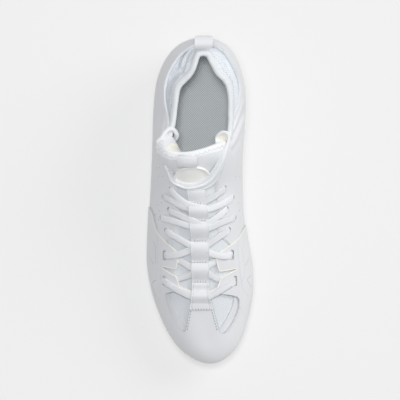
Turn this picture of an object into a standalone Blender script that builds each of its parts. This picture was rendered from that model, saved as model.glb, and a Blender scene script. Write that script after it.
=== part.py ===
"""Right lacrosse cleat standing empty on its studs.

Metres, +Z up, toe towards -Y, heel towards +Y, big-toe (medial) side towards +X.
Every curved piece is taken from one last surface: a ring of ribs that run from the
feather edge (where the upper meets the sole) over the widest line up to the spine.
"""
import math
from collections import namedtuple

import bmesh
import bpy
import numpy as np
from mathutils import Matrix, Vector
from mathutils.bvhtree import BVHTree
from mathutils.kdtree import KDTree

MM = 0.001

# Driving sizes
LENGTH = 294 * MM
BALL_WIDTH = 94.8 * MM
GAP = 0.35 * MM
UPPER_WALL = 1.6 * MM
OVERLAY_STEP = 0.7 * MM
VAMP_GAP = 0.9 * MM
VAMP_WALL = 1.2 * MM
TONGUE_WALL = 3.2 * MM
TONGUE_DEPTH = UPPER_WALL + VAMP_GAP + VAMP_WALL + GAP
CUFF_WALL = 3.0 * MM
CUFF_CLEARANCE = 0.6 * MM
INSOLE_THICKNESS = 4.0 * MM
INSOLE_LIFT = 0.6 * MM
INSOLE_DISH = 0.6 * MM
INSOLE_INSET = 7.0 * MM
SOLE_WALL = 1.8 * MM
WEBBING = 1.4 * MM
LACE_WIDTH = 5.4 * MM
LACE_THICKNESS = 2.2 * MM
EYELET_RADIUS = 1.9 * MM
EYELET_SIDES = 10
EYELET_CUT = 12 * MM
WINDOW_FLOOR = 36 * MM
WINDOW_CEILING = 140 * MM
SHARP_ANGLE = math.radians(35)
WELD = 0.01 * MM

# One row per rib from the heel tip to the toe tip.
# lat_ and med_: outline on the outer and inner side, spine_: where the rib ends on top.
# x and spine_x are shares of BALL_WIDTH, y and spine_y shares of LENGTH, tuck_ (how far
# the feather edge lies inside the outline), widest and ridge are heights in mm, square is
# the roundness power and edge_ the plan share at which the shell's edge cuts the rib.
Rib = namedtuple("Rib", "lat_x lat_y med_x med_y spine_x spine_y tuck_lat tuck_med "
                        "widest ridge square edge_lat edge_med")
RIBS = (
    Rib(.037, .495, .037, .495, .032, .330, 6.0, 6.0, 46.0, 106.0, 3.20, .890, .890),
    Rib(-.172, .477, .237, .474, .032, .328, 6.0, 6.0, 46.0, 106.0, 3.20, .845, .880),
    Rib(-.311, .434, .348, .429, .031, .323, 6.5, 7.0, 46.0, 106.0, 3.10, .815, .870),
    Rib(-.396, .374, .411, .369, .028, .313, 7.0, 8.0, 45.5, 105.0, 3.00, .830, .880),
    Rib(-.432, .306, .435, .306, .018, .286, 7.5, 9.5, 44.0, 102.5, 2.90, .790, .830),
    Rib(-.446, .221, .426, .221, -.025, .221, 8.0, 11.0, 42.0, 104.0, 2.70, .650, .730),
    Rib(-.453, .136, .407, .136, -.110, .136, 8.0, 11.0, 40.0, 117.0, 2.30, .690, .710),
    Rib(-.464, .051, .405, .051, -.050, .051, 7.0, 10.0, 38.0, 95.5, 2.05, .436, .426),
    Rib(-.479, -.034, .413, -.034, -.005, -.034, 6.5, 8.5, 35.0, 84.5, 1.95, .420, .440),
    Rib(-.491, -.119, .447, -.119, .006, -.119, 5.8, 7.2, 31.0, 75.5, 2.00, .420, .390),
    Rib(-.490, -.204, .491, -.204, .016, -.204, 5.4, 6.0, 28.0, 67.0, 2.10, .450, .300),
    Rib(-.439, -.289, .491, -.289, .026, -.279, 5.4, 5.6, 28.0, 60.0, 2.20, .280, .220),
    Rib(-.352, -.366, .442, -.368, .042, -.335, 5.6, 5.6, 30.0, 55.0, 2.30, 0, 0),
    Rib(-.232, -.435, .359, -.440, .056, -.365, 6.0, 6.0, 33.0, 52.0, 2.35, 0, 0),
    Rib(-.082, -.479, .234, -.483, .066, -.385, 6.4, 6.4, 35.0, 49.6, 2.40, 0, 0),
    Rib(.090, -.498, .090, -.498, .070, -.395, 6.6, 6.6, 35.5, 48.4, 2.40, 0, 0),
)
TOE_RIB = len(RIBS) - 1
RING = 2 * TOE_RIB
STEPS_PER_RIB = 3
DOME_ROWS = 7
WALL_RISES = (0.0, 0.4, 1.0)
FINE_STEP = 0.02
FINE_RIBS = 6
FINE_ROWS = 30

# Forefoot overlay: a raised step whose back edge starts at this rib on the widest line and
# sweeps towards the toe by the lean, over a stretch of ribs, as it climbs to the throat.
OVERLAY_RIB = 8
OVERLAY_LEAN = 1.5
OVERLAY_STRETCH = 1.8
OVERLAY_EDGE = 0.04

# Sole seen from the side: y as a share of LENGTH, heights in mm.
Profile = namedtuple("Profile", "y bottom feather side_wall")
PROFILE = (
    Profile(-.500, 20.5, 25.0, 6.5),
    Profile(-.440, 16.5, 21.3, 5.0),
    Profile(-.360, 12.5, 17.5, 3.6),
    Profile(-.280, 10.2, 15.2, 3.2),
    Profile(-.200, 10.2, 15.0, 3.2),
    Profile(-.100, 11.7, 16.5, 3.6),
    Profile(.000, 13.6, 18.8, 4.6),
    Profile(.100, 14.0, 20.3, 5.6),
    Profile(.200, 12.5, 21.0, 6.0),
    Profile(.300, 11.0, 21.0, 6.0),
    Profile(.420, 11.0, 21.0, 6.5),
    Profile(.500, 13.0, 21.5, 7.0),
)

# Moulded studs: centre in mm, length, width and turn of the blade.
Stud = namedtuple("Stud", "x y length width turn")
STUDS = (
    Stud(8, -124, 15, 12, 90),
    Stud(-19, -106, 17, 12, -32),
    Stud(29, -108, 17, 12, 28),
    Stud(5, -93, 14, 11, 0),
    Stud(-31, -77, 18, 12, -14),
    Stud(35, -79, 18, 12, 8),
    Stud(-35, -46, 18, 12, 0),
    Stud(31, -47, 18, 12, -8),
    Stud(-1, -58, 14, 11, 0),
    Stud(-22, 70, 18, 12, 4),
    Stud(19, 70, 18, 12, -4),
    Stud(-18, 110, 18, 12, -18),
    Stud(22, 109, 18, 12, 18),
)
STUD_TIP = 0.66
STUD_SINK = 2.0 * MM

# Top rim of the ankle sleeve: x and y in mm on each side, height in mm.
Rim = namedtuple("Rim", "rib lat_x lat_y med_x med_y height")
RIM = (
    Rim(0.0, 3.0, 129.9, 3.0, 129.9, 105.0),
    Rim(1.0, -3.4, 120.7, 10.2, 119.7, 104.0),
    Rim(2.0, -9.3, 108.2, 16.3, 108.8, 102.0),
    Rim(3.0, -15.8, 100.5, 22.5, 101.2, 100.0),
    Rim(4.0, -19.8, 86.8, 26.3, 87.0, 98.5),
    Rim(5.0, -23.6, 65.0, 26.0, 65.0, 98.0),
    Rim(5.33, -25.0, 56.5, 25.4, 57.5, 99.0),
)

# Vamp and tongue edges: plan share across (lateral negative) and rib number along.
Edge = namedtuple("Edge", "across rib")
VAMP_TOP = (
    Edge(-.68, 6.42), Edge(-.53, 6.82), Edge(-.40, 7.08), Edge(-.24, 7.22), Edge(0, 7.27),
    Edge(.20, 7.22), Edge(.36, 7.08), Edge(.53, 6.80), Edge(.68, 6.40),
)
TONGUE_TOP = (
    Edge(-.70, 5.86), Edge(-.49, 5.98), Edge(-.25, 6.06), Edge(.04, 6.04), Edge(.25, 5.90),
    Edge(.49, 5.70), Edge(.67, 5.56),
)
VAMP_TOE_RIB = 13.6
VAMP_TOE_REACH = .86
VAMP_TOP_REACH = .64
TONGUE_FOOT_RIB = 7.75
TONGUE_FOOT_REACH = .60
TONGUE_TOP_REACH = .74
VAMP_GRID = (18, 11)
TONGUE_GRID = (9, 13)

# Holes in the shell: centre in mm, and the length of a slot.
Hole = namedtuple("Hole", "x y length")
EYELETS = (
    Hole(-25.3, 9.5, 0), Hole(-32.4, 2.4, 0), Hole(-27.1, -9.3, 0),
    Hole(-34.2, -16.4, 0), Hole(-29.8, -27.6, 0),
    Hole(-31.6, -49.8, 8), Hole(-31.6, -72.9, 8),
    Hole(21.7, 10.4, 0), Hole(29.3, 1.5, 0), Hole(23.9, -8.4, 0),
    Hole(31.1, -16.4, 0), Hole(25.7, -27.2, 0),
    Hole(28.4, -49.8, 8), Hole(31.1, -72.9, 8),
)

# Openings cut from above, plan corners in mm.
LATERAL_WINDOW = ((-29.5, -85.5), (-7.6, -89.4), (-9.0, -97.0), (-12.6, -117.5),
                  (-16.0, -118.4), (-22.8, -110.0), (-27.6, -98.0))
MEDIAL_WINDOW = ((11.6, -89.4), (19.5, -84.6), (32.9, -87.2), (34.9, -91.0), (33.0, -100.0),
                 (27.0, -112.0), (20.4, -119.0), (16.8, -116.0), (13.6, -103.0))
LATERAL_NOTCH = ((-35.0, -60.8), (-14.0, -62.6), (-14.0, -70.6), (-22.0, -68.4), (-28.0, -65.6))
MEDIAL_NOTCH = ((32.5, -62.4), (12.0, -64.4), (12.0, -72.0), (18.6, -70.2), (26.0, -66.4))

# Lace keeper: y in mm of each tack row, its height in mm over the last, and how far the
# loop after it bows up.
Tack = namedtuple("Tack", "y lift bow")
KEEPER_TACKS = (Tack(4.6, -1.3, 0.8), Tack(-1.2, -1.3, 5.0), Tack(-16.6, -1.3, 4.8),
                Tack(-34.4, -1.3, 4.8), Tack(-53.6, -1.3, 5.2), Tack(-72.2, -1.3, 6.2),
                Tack(-97.0, 1.2, 0))
KEEPER_HALF_WIDTH = 8.3 * MM
KEEPER_FULLNESS = 0.45
KEEPER_STEPS = 5
Axis = namedtuple("Axis", "y x")
KEEPER_AXIS = (Axis(-110.0, 2.4), Axis(-97.0, 2.0), Axis(-35.0, 1.1), Axis(8.0, -2.9))

# Lace strands through each loop of the keeper: height of a strand's middle in mm over the
# last under the keeper, and plan points in mm from side to side.
Crossing = namedtuple("Crossing", "name dip strands")
CROSSINGS = (
    Crossing("lace_cross_1", 0.3, (
        ((-25.3, 9.5), (-18.0, 0.4), (-10.1, -6.9), (7.8, -11.0), (18.0, -7.6), (29.3, 1.5)),
        ((-32.4, 2.4), (-22.0, -4.0), (-10.1, -11.0), (7.8, -7.0), (15.0, 0.6), (21.7, 10.4)))),
    Crossing("lace_cross_2", 0.3, (
        ((-27.1, -9.3), (-10.1, -21.4), (7.8, -27.0), (18.0, -23.8), (31.1, -16.4)),
        ((-34.2, -16.4), (-22.0, -20.0), (-10.1, -25.4), (7.8, -22.0), (23.9, -8.4)))),
    Crossing("lace_cross_3", 0.3, (
        ((-29.8, -27.6), (-10.1, -40.6), (8.7, -44.6), (18.0, -45.6), (28.4, -46.6)),
        ((-31.6, -46.6), (-22.0, -46.6), (-10.1, -45.6), (8.7, -40.4), (25.7, -27.2)))),
    Crossing("lace_cross_4", 0.3, (
        ((-31.6, -53.0), (-20.8, -54.6), (-8.3, -60.3), (7.8, -65.2), (17.7, -69.2), (31.1, -69.6)),
        ((-31.6, -69.6), (-20.8, -69.6), (-8.3, -65.8), (7.8, -60.0), (15.0, -56.4), (28.4, -53.0)))),
    Crossing("lace_bar", 2.3, (
        ((-31.6, -76.2), (-19.9, -80.6), (-8.3, -83.6), (7.8, -82.6), (20.4, -78.6), (31.1, -76.2)),)),
)
# Height of a strand's middle over the last out on the shell, and the distances from the
# keeper's middle between which it climbs there.
LACE_LIFT = 2.5 * MM
THROAT_NEAR = 9 * MM
THROAT_FAR = 16 * MM

PATCH_CENTRE = (-8.2, 20.0)
PATCH_HALF_WIDTH = 14.4 * MM
PATCH_HALF_LENGTH = 7.4 * MM
PATCH_THICKNESS = 1.2 * MM
PATCH_SIDES = 18

# Pull loops: distance of each row along Y in mm and its height in mm, over the tongue's
# own face for the tongue loop and over the floor for the heel loop.
LoopRow = namedtuple("LoopRow", "y height")
TONGUE_LOOP = (LoopRow(30.0, 0.4), LoopRow(31.0, 1.8), LoopRow(33.0, 3.0), LoopRow(35.5, 3.2),
               LoopRow(37.5, 2.2))
TONGUE_LOOP_X = -11.8 * MM
TONGUE_LOOP_WIDTH = 15 * MM
HEEL_LOOP = (LoopRow(145.5, 76.0), LoopRow(145.6, 86.0), LoopRow(146.2, 95.0), LoopRow(147.0, 102.0),
             LoopRow(145.4, 107.0), LoopRow(141.0, 109.6), LoopRow(136.0, 109.4), LoopRow(132.6, 107.6))
HEEL_LOOP_X = 3.4 * MM
HEEL_LOOP_WIDTH = 16 * MM


def clear_scene():
    for item in list(bpy.data.objects):
        bpy.data.objects.remove(item, do_unlink=True)


def new_collection(name):
    collection = bpy.data.collections.new(name)
    bpy.context.scene.collection.children.link(collection)
    return collection


def principled(name, colour, roughness):
    material = bpy.data.materials.new(name)
    material.use_nodes = True
    shader = material.node_tree.nodes["Principled BSDF"]
    shader.inputs["Base Color"].default_value = (*colour, 1)
    shader.inputs["Roughness"].default_value = roughness
    return material


def mesh_object(name, vertices, faces, collection):
    """Link a mesh with coincident points welded."""
    mesh = bpy.data.meshes.new(name)
    mesh.from_pydata([tuple(v) for v in vertices], [], faces)
    body = bmesh.new()
    body.from_mesh(mesh)
    bmesh.ops.remove_doubles(body, verts=body.verts, dist=WELD)
    body.to_mesh(mesh)
    body.free()
    item = bpy.data.objects.new(name, mesh)
    collection.objects.link(item)
    return item


def apply_modifiers(item):
    graph = bpy.context.evaluated_depsgraph_get()
    done = bpy.data.meshes.new_from_object(item.evaluated_get(graph))
    old = item.data
    item.modifiers.clear()
    item.data = done
    bpy.data.meshes.remove(old)


def solidify(item, thickness):
    """Give an open surface a wall that grows inwards."""
    modifier = item.modifiers.new("wall", "SOLIDIFY")
    modifier.thickness = thickness
    modifier.offset = -1
    modifier.use_even_offset = True
    apply_modifiers(item)


def boolean(item, other, operation):
    modifier = item.modifiers.new(operation.lower(), "BOOLEAN")
    modifier.operation = operation
    modifier.solver = "EXACT"
    modifier.object = other
    apply_modifiers(item)


def make_cutter(item, cutters):
    for holder in list(item.users_collection):
        holder.objects.unlink(item)
    cutters.objects.link(item)
    item.hide_render = True
    item.display_type = "WIRE"


def finish(item, material):
    item.data.materials.clear()
    item.data.materials.append(material)
    for polygon in item.data.polygons:
        polygon.material_index = 0
    item.data.shade_smooth()
    item.data.set_sharp_from_angle(angle=SHARP_ANGLE)


def grid_faces(rows, columns, closed_rows):
    """Quads between rows of a grid, joined back to the first row if it is closed."""
    faces = []
    last_row = rows if closed_rows else rows - 1
    for row in range(last_row):
        after = (row + 1) % rows
        for column in range(columns - 1):
            faces.append((row * columns + column, after * columns + column,
                          after * columns + column + 1, row * columns + column + 1))
    return faces


def ring_spline(values):
    """Second derivatives of the closed cubic spline through evenly spaced values."""
    count = len(values)
    system = 4 * np.eye(count) + np.roll(np.eye(count), 1, axis=1) + np.roll(np.eye(count), -1, axis=1)
    bend = 6 * (np.roll(values, -1, axis=0) - 2 * values + np.roll(values, 1, axis=0))
    return np.linalg.solve(system, bend)


def ring_rows():
    """Rib rows round the whole shoe: lateral ones down to the toe, medial ones back."""
    rows = []
    edges = []
    for index in range(RING):
        lateral = index <= TOE_RIB
        rib = RIBS[index if lateral else RING - index]
        side_x = rib.lat_x if lateral else rib.med_x
        side_y = rib.lat_y if lateral else rib.med_y
        tuck = rib.tuck_lat if lateral else rib.tuck_med
        rows.append((side_x * BALL_WIDTH, side_y * LENGTH, rib.spine_x * BALL_WIDTH,
                     rib.spine_y * LENGTH, tuck * MM, rib.widest * MM, rib.ridge * MM, rib.square))
        edges.append(rib.edge_lat if lateral else rib.edge_med)
    return np.array(rows), np.array(edges)


ROWS, EDGES = ring_rows()
BENDS = ring_spline(ROWS)
RibShape = namedtuple("RibShape", "outline spine tuck widest ridge square")


def ring_place(position):
    """Rows on either side of a position round the ring, and the share of the way between."""
    place = np.asarray(position, dtype=float) % RING
    low = np.floor(place).astype(int) % RING
    return low, (low + 1) % RING, place - np.floor(place)


def rib_at(position):
    """Smooth rib shape at positions round the ring."""
    low, high, share = ring_place(position)
    share = share[..., None]
    rest = 1 - share
    values = (rest * ROWS[low] + share * ROWS[high]
              + ((rest ** 3 - rest) * BENDS[low] + (share ** 3 - share) * BENDS[high]) / 6)
    outline, spine, tuck, widest, ridge, square = np.split(values, (2, 4, 5, 6, 7), axis=-1)
    return RibShape(outline, spine, tuck[..., 0], widest[..., 0], ridge[..., 0], square[..., 0])


def hermite(t, start, end, start_slope, end_slope):
    return ((2 * t ** 3 - 3 * t ** 2 + 1) * start + (t ** 3 - 2 * t ** 2 + t) * start_slope
            + (3 * t ** 2 - 2 * t ** 3) * end + (t ** 3 - t ** 2) * end_slope)


def sole_height(y, column):
    """Height of a sole line at y, from a smooth curve through the profile rows."""
    places = np.array([row.y for row in PROFILE]) * LENGTH
    heights = np.array([getattr(row, column) for row in PROFILE]) * MM
    slopes = np.gradient(heights, places)
    y = np.clip(y, places[0], places[-1])
    low = np.clip(np.searchsorted(places, y) - 1, 0, len(places) - 2)
    span = places[low + 1] - places[low]
    return hermite((y - places[low]) / span, heights[low], heights[low + 1],
                   span * slopes[low], span * slopes[low + 1])


def outline_normal(position):
    """Outward direction of the outline in plan."""
    along = rib_at(position + FINE_STEP).outline - rib_at(position - FINE_STEP).outline
    along /= np.linalg.norm(along, axis=-1, keepdims=True)
    return np.stack([along[..., 1], -along[..., 0]], axis=-1)


def join_height(plan, height):
    return np.concatenate([plan, height[..., None]], axis=-1)


def wall_point(position, rise, outset=0.0):
    """Lower wall: rise 0 is the feather edge, 1 the widest line."""
    rib = rib_at(position)
    inset = rib.tuck * (1 - rise) ** 2 - outset
    plan = rib.outline - outline_normal(position) * inset[..., None]
    feather = sole_height(rib.outline[..., 1], "feather")
    return join_height(plan, feather + (rib.widest - feather) * rise)


def dome_point(position, share):
    """Upper wall: plan share 1 is the widest line, 0 the spine."""
    rib = rib_at(position)
    share = np.broadcast_to(share, rib.square.shape)
    plan = rib.spine + (rib.outline - rib.spine) * share[..., None]
    climb = (1 - share ** rib.square) ** (1 / rib.square)
    return join_height(plan, rib.widest + (rib.ridge - rib.widest) * climb)


def ring_positions():
    return np.arange(RING * STEPS_PER_RIB) / STEPS_PER_RIB


def lean_ribs(position, share):
    """Ribs swept towards the toe near the overlay's back edge, more so higher up."""
    folded = np.minimum(position, RING - position)
    bump = np.exp(-((folded - OVERLAY_RIB - OVERLAY_LEAN / 3) / OVERLAY_STRETCH) ** 2)
    lean = OVERLAY_LEAN * share * bump
    return np.where(position <= TOE_RIB, position + lean, position - lean)


def shell_edge(position):
    """Plan share at which the shell stops, 0 where it closes over the spine."""
    low, high, share = ring_place(position)
    after = np.roll(EDGES, -1) - EDGES
    before = np.roll(after, 1)
    even = after * before > 0
    slope = np.where(even, 2 * after * before / np.where(even, after + before, 1), 0)
    return hermite(share, EDGES[low], EDGES[high], slope[low], slope[high])


def last_surface(position, rows, closed):
    """Points of each rib from the feather edge up to the shell's edge, or to the spine."""
    columns = [wall_point(position, rise) for rise in WALL_RISES]
    for row in range(1, rows + 1):
        place = lean_ribs(position, row / rows)
        edge = np.zeros(len(place)) if closed else shell_edge(place)
        square = rib_at(place).square
        top = np.arccos(edge ** (square / 2))
        columns.append(dome_point(place, np.cos(top * row / rows) ** (2 / square)))
    return np.stack(columns, axis=1)


def last_tree():
    """Fine mesh of the whole last that plan points are dropped on to."""
    position = np.arange(RING * FINE_RIBS) / FINE_RIBS
    points = last_surface(position, FINE_ROWS, True)
    rows, columns = points.shape[:2]
    faces = grid_faces(rows, columns, True)
    return BVHTree.FromPolygons([tuple(p) for p in points.reshape(-1, 3)], faces)


LAST = last_tree()


def drop(x, y):
    """Point and normal of the last straight below a plan point."""
    place, normal, _, _ = LAST.ray_cast(Vector((x, y, 1)), Vector((0, 0, -1)))
    if normal.z < 0:
        normal = -normal
    return place, normal


def make_upper(collection, cutters):
    """Shell of one wall thickness, stepped outwards in front of the overlay's back edge."""
    step_ribs = (OVERLAY_RIB + OVERLAY_EDGE, RING - OVERLAY_RIB - OVERLAY_EDGE)
    position = np.sort(np.append(ring_positions(), step_ribs))
    points = last_surface(position, DOME_ROWS, False)
    raised = (position > OVERLAY_RIB) & (position < RING - OVERLAY_RIB)
    height = np.ones(points.shape[1])
    height[:len(WALL_RISES) - 1] = 0
    step = OVERLAY_STEP * raised[:, None] * height[None, :]
    rows, columns = points.shape[:2]
    upper = mesh_object("upper", points.reshape(-1, 3), grid_faces(rows, columns, True), collection)
    raise_points(upper, points.reshape(-1, 3), step.reshape(-1))
    solidify(upper, UPPER_WALL)
    cut_list = [eyelet_cutter(hole, number, cutters) for number, hole in enumerate(EYELETS)]
    for number, corners in enumerate((LATERAL_WINDOW, MEDIAL_WINDOW, LATERAL_NOTCH, MEDIAL_NOTCH)):
        cut_list.append(prism(f"window_cutter_{number}", corners, cutters))
    for cutter in cut_list:
        boolean(upper, cutter, "DIFFERENCE")
    return upper


def raise_points(item, places, lifts):
    """Move a welded mesh's points outwards by the lift of the grid point they came from."""
    tree = KDTree(len(places))
    for index, place in enumerate(places):
        tree.insert(Vector(place), index)
    tree.balance()
    moves = []
    for vertex in item.data.vertices:
        _, index, _ = tree.find(vertex.co)
        moves.append(vertex.normal * lifts[index])
    for vertex, move in zip(item.data.vertices, moves):
        vertex.co += move


def eyelet_cutter(hole, number, cutters):
    """Round or slotted cutter square to the last at a hole's centre."""
    place, normal = drop(hole.x * MM, hole.y * MM)
    bpy.ops.mesh.primitive_cylinder_add(vertices=EYELET_SIDES, radius=EYELET_RADIUS, depth=EYELET_CUT)
    cutter = bpy.context.object
    cutter.name = f"eyelet_cutter_{number}"
    half = hole.length * MM / 2
    for vertex in cutter.data.vertices:
        vertex.co.y += math.copysign(half, vertex.co.y)
    across = Vector((1, 0, 0))
    across = (across - normal * across.dot(normal)).normalized()
    along = normal.cross(across)
    turn = Matrix((across, along, normal)).transposed().to_4x4()
    cutter.data.transform(Matrix.Translation(place) @ turn)
    make_cutter(cutter, cutters)
    return cutter


def prism(name, corners, collection):
    """Upright block over plan corners in mm, tall enough to pass through the top wall only."""
    outline = [Vector((x * MM, y * MM)) for x, y in corners]
    area = sum(a.cross(b) for a, b in zip(outline, outline[1:] + outline[:1]))
    if area < 0:
        outline.reverse()
    count = len(outline)
    vertices = [(p.x, p.y, height) for height in (WINDOW_FLOOR, WINDOW_CEILING) for p in outline]
    faces = [tuple(reversed(range(count))), tuple(range(count, 2 * count))]
    for index in range(count):
        after = (index + 1) % count
        faces.append((index, after, count + after, count + index))
    block = mesh_object(name, vertices, faces, collection)
    make_cutter(block, collection)
    return block


def edge_rib(edges, across):
    return np.interp(across, [e.across for e in edges], [e.rib for e in edges])


def signed_dome(rib, across):
    """Dome points where a negative plan share lies on the lateral side."""
    position = np.where(across <= 0, rib, RING - rib)
    return dome_point(position, np.abs(across))


def grid_normals(points):
    along = np.gradient(points, axis=0)
    over = np.gradient(points, axis=1)
    normal = np.cross(over, along)
    return normal / np.linalg.norm(normal, axis=-1, keepdims=True)


def sheet_object(name, points, collection):
    rows, columns = points.shape[:2]
    faces = grid_faces(rows, columns, False)
    faces = [tuple(reversed(face)) for face in faces]
    return mesh_object(name, points.reshape(-1, 3), faces, collection)


def throat_sheet(foot_rib, foot_reach, top_reach, top_edges, grid):
    """Points on the last between a foot rib and a curved top edge, foot row first."""
    rows, columns = grid
    along = np.linspace(0, 1, rows)[:, None]
    reach = foot_reach + (top_reach - foot_reach) * along ** 0.5
    across = np.linspace(-1, 1, columns)[None, :] * reach
    rib = foot_rib + (edge_rib(top_edges, across) - foot_rib) * along
    return signed_dome(rib, across)


def make_vamp(collection):
    points = throat_sheet(VAMP_TOE_RIB, VAMP_TOE_REACH, VAMP_TOP_REACH, VAMP_TOP, VAMP_GRID)
    points = points - grid_normals(points) * (UPPER_WALL + VAMP_GAP)
    vamp = sheet_object("vamp", points, collection)
    solidify(vamp, VAMP_WALL)
    return vamp


def make_tongue(collection):
    points = throat_sheet(TONGUE_FOOT_RIB, TONGUE_FOOT_REACH, TONGUE_TOP_REACH, TONGUE_TOP,
                          TONGUE_GRID)
    points = points - grid_normals(points) * TONGUE_DEPTH
    tongue = sheet_object("tongue", points, collection)
    solidify(tongue, TONGUE_WALL)
    return tongue


def make_cuff(collection):
    """Soft sleeve that lines the heel and leans in to its own rim."""
    steps = round(RIM[-1].rib * STEPS_PER_RIB)
    position = np.arange(-steps, steps + 1) / STEPS_PER_RIB
    ribs = np.abs(position)
    keys = [row.rib for row in RIM]
    lateral = position >= 0
    rim = np.stack([
        np.where(lateral, np.interp(ribs, keys, [r.lat_x for r in RIM]),
                 np.interp(ribs, keys, [r.med_x for r in RIM])),
        np.where(lateral, np.interp(ribs, keys, [r.lat_y for r in RIM]),
                 np.interp(ribs, keys, [r.med_y for r in RIM])),
        np.interp(ribs, keys, [r.height for r in RIM])], axis=-1) * MM
    edge = shell_edge(position)
    rows = [dome_point(position, 1 - (1 - edge) * share) for share in (0.02, 0.25, 0.6)]
    rim_start = dome_point(position, 1 - (1 - edge) * 0.85)
    for share in (0, 0.35, 0.7, 1.0):
        rows.append(rim_start + (rim - rim_start) * share)
    points = np.stack(rows, axis=1)
    points = points + grid_normals(points) * (UPPER_WALL + CUFF_CLEARANCE)
    cuff = mesh_object("cuff", points.reshape(-1, 3),
                       grid_faces(points.shape[0], points.shape[1], False), collection)
    solidify(cuff, CUFF_WALL)
    return cuff


def ring_body(name, rings, collection):
    """Closed body from rings of rib points; the first and last ring lie on the spine."""
    points = np.stack(rings, axis=1)
    rows, columns = points.shape[:2]
    return mesh_object(name, points.reshape(-1, 3), grid_faces(rows, columns, True), collection)


def spine_line(position, column, lift):
    spine = rib_at(position).spine
    return join_height(spine, sole_height(spine[:, 1], column) + lift)


def inset_ring(position, inset, column, lift):
    """Ring inside the feather edge, at the height of a sole line."""
    point = wall_point(position, 0.0, -inset)
    point[:, 2] = sole_height(point[:, 1], column) + lift
    return point


def between(inner, outer, share, column, lift):
    point = inner + (outer - inner) * share
    point[:, 2] = sole_height(point[:, 1], column) + lift
    return point


def make_insole(collection):
    """Sockliner that lies on the plate, dished a little in the middle."""
    position = ring_positions()
    edge = inset_ring(position, INSOLE_INSET, "feather", 0)
    centre = spine_line(position, "feather", 0)
    top_height = INSOLE_LIFT + INSOLE_THICKNESS
    foot = between(edge, edge, 0, "feather", INSOLE_LIFT)
    top = between(edge, edge, 0, "feather", top_height)
    top_mid = between(edge, centre, 0.4, "feather", top_height - INSOLE_DISH)
    low_end = between(centre, centre, 0, "feather", INSOLE_LIFT)
    top_end = between(centre, centre, 0, "feather", top_height - INSOLE_DISH)
    return ring_body("insole", [low_end, foot, top, top_mid, top_end], collection)


def make_outsole(collection, cutters):
    position = ring_positions()
    rib = rib_at(position)
    feather = sole_height(rib.outline[:, 1], "feather")
    rise = sole_height(rib.outline[:, 1], "side_wall") / (rib.widest - feather)
    clear = 2 * GAP
    low = inset_ring(position, -clear - SOLE_WALL * 0.4, "bottom", 0)
    low_mid = between(low, spine_line(position, "bottom", 0), 0.5, "bottom", 0)
    low_end = spine_line(position, "bottom", 0)
    side = wall_point(position, 0.0, clear + SOLE_WALL)
    side[:, 2] -= 1.5 * MM
    brim = wall_point(position, rise, clear + SOLE_WALL)
    lip = wall_point(position, rise, clear)
    seat = wall_point(position, 0.0, clear)
    seat[:, 2] -= GAP
    floor_mid = between(seat, spine_line(position, "feather", 0), 0.45, "feather", -GAP)
    floor_end = spine_line(position, "feather", -GAP)
    outsole = ring_body("outsole", [low_end, low_mid, low, side, brim, lip, seat,
                                    floor_mid, floor_end], collection)
    for number, stud in enumerate(STUDS):
        boolean(outsole, make_stud(stud, number, cutters), "UNION")
    return outsole


def make_stud(stud, number, cutters):
    """Tapered blade from the floor up into the plate."""
    top = float(sole_height(np.array(stud.y * MM), "bottom")) + STUD_SINK
    bpy.ops.mesh.primitive_cone_add(vertices=12, radius1=STUD_TIP / 2, radius2=0.5, depth=top,
                                    location=(0, 0, top / 2))
    blade = bpy.context.object
    blade.name = f"stud_{number}"
    size = Matrix.Diagonal((stud.width * MM, stud.length * MM, 1, 1))
    turn = Matrix.Rotation(math.radians(stud.turn), 4, "Z")
    place = Matrix.Translation((stud.x * MM, stud.y * MM, 0))
    blade.data.transform(place @ turn @ size @ blade.matrix_basis)
    blade.matrix_basis = Matrix.Identity(4)
    make_cutter(blade, cutters)
    return blade


def keeper_x(y):
    return float(np.interp(y, [a.y for a in KEEPER_AXIS], [a.x for a in KEEPER_AXIS])) * MM


def make_lace_keeper(collection):
    """Webbing tacked to the vamp and bowed up between tacks."""
    rows = []
    for start, end in zip(KEEPER_TACKS, KEEPER_TACKS[1:]):
        for step in range(KEEPER_STEPS):
            share = step / KEEPER_STEPS
            bow = start.bow * MM * math.sin(math.pi * share) ** KEEPER_FULLNESS
            rows.append((start.y + (end.y - start.y) * share,
                         (start.lift + (end.lift - start.lift) * share) * MM + bow))
    rows.append((KEEPER_TACKS[-1].y, KEEPER_TACKS[-1].lift * MM))
    points = []
    for y, lift in rows:
        centre = keeper_x(y)
        line = []
        for side in (-1, -0.34, 0.34, 1):
            place, normal = drop(centre + side * KEEPER_HALF_WIDTH, y * MM)
            line.append(place + normal * (lift + WEBBING))
        points.append(line)
    strap = sheet_object("lace_keeper", np.array(points)[::-1], collection)
    solidify(strap, WEBBING)
    return strap


def smooth_path(points, steps):
    """Catmull-Rom points through a short list of control points."""
    padded = [2 * points[0] - points[1]] + points + [2 * points[-1] - points[-2]]
    path = []
    for a, b, c, d in zip(padded, padded[1:], padded[2:], padded[3:]):
        for step in range(steps):
            t = step / steps
            path.append(0.5 * (2 * b + (c - a) * t + (2 * a - 5 * b + 4 * c - d) * t ** 2
                               + (3 * b - a - 3 * c + d) * t ** 3))
    path.append(points[-1])
    return path


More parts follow.
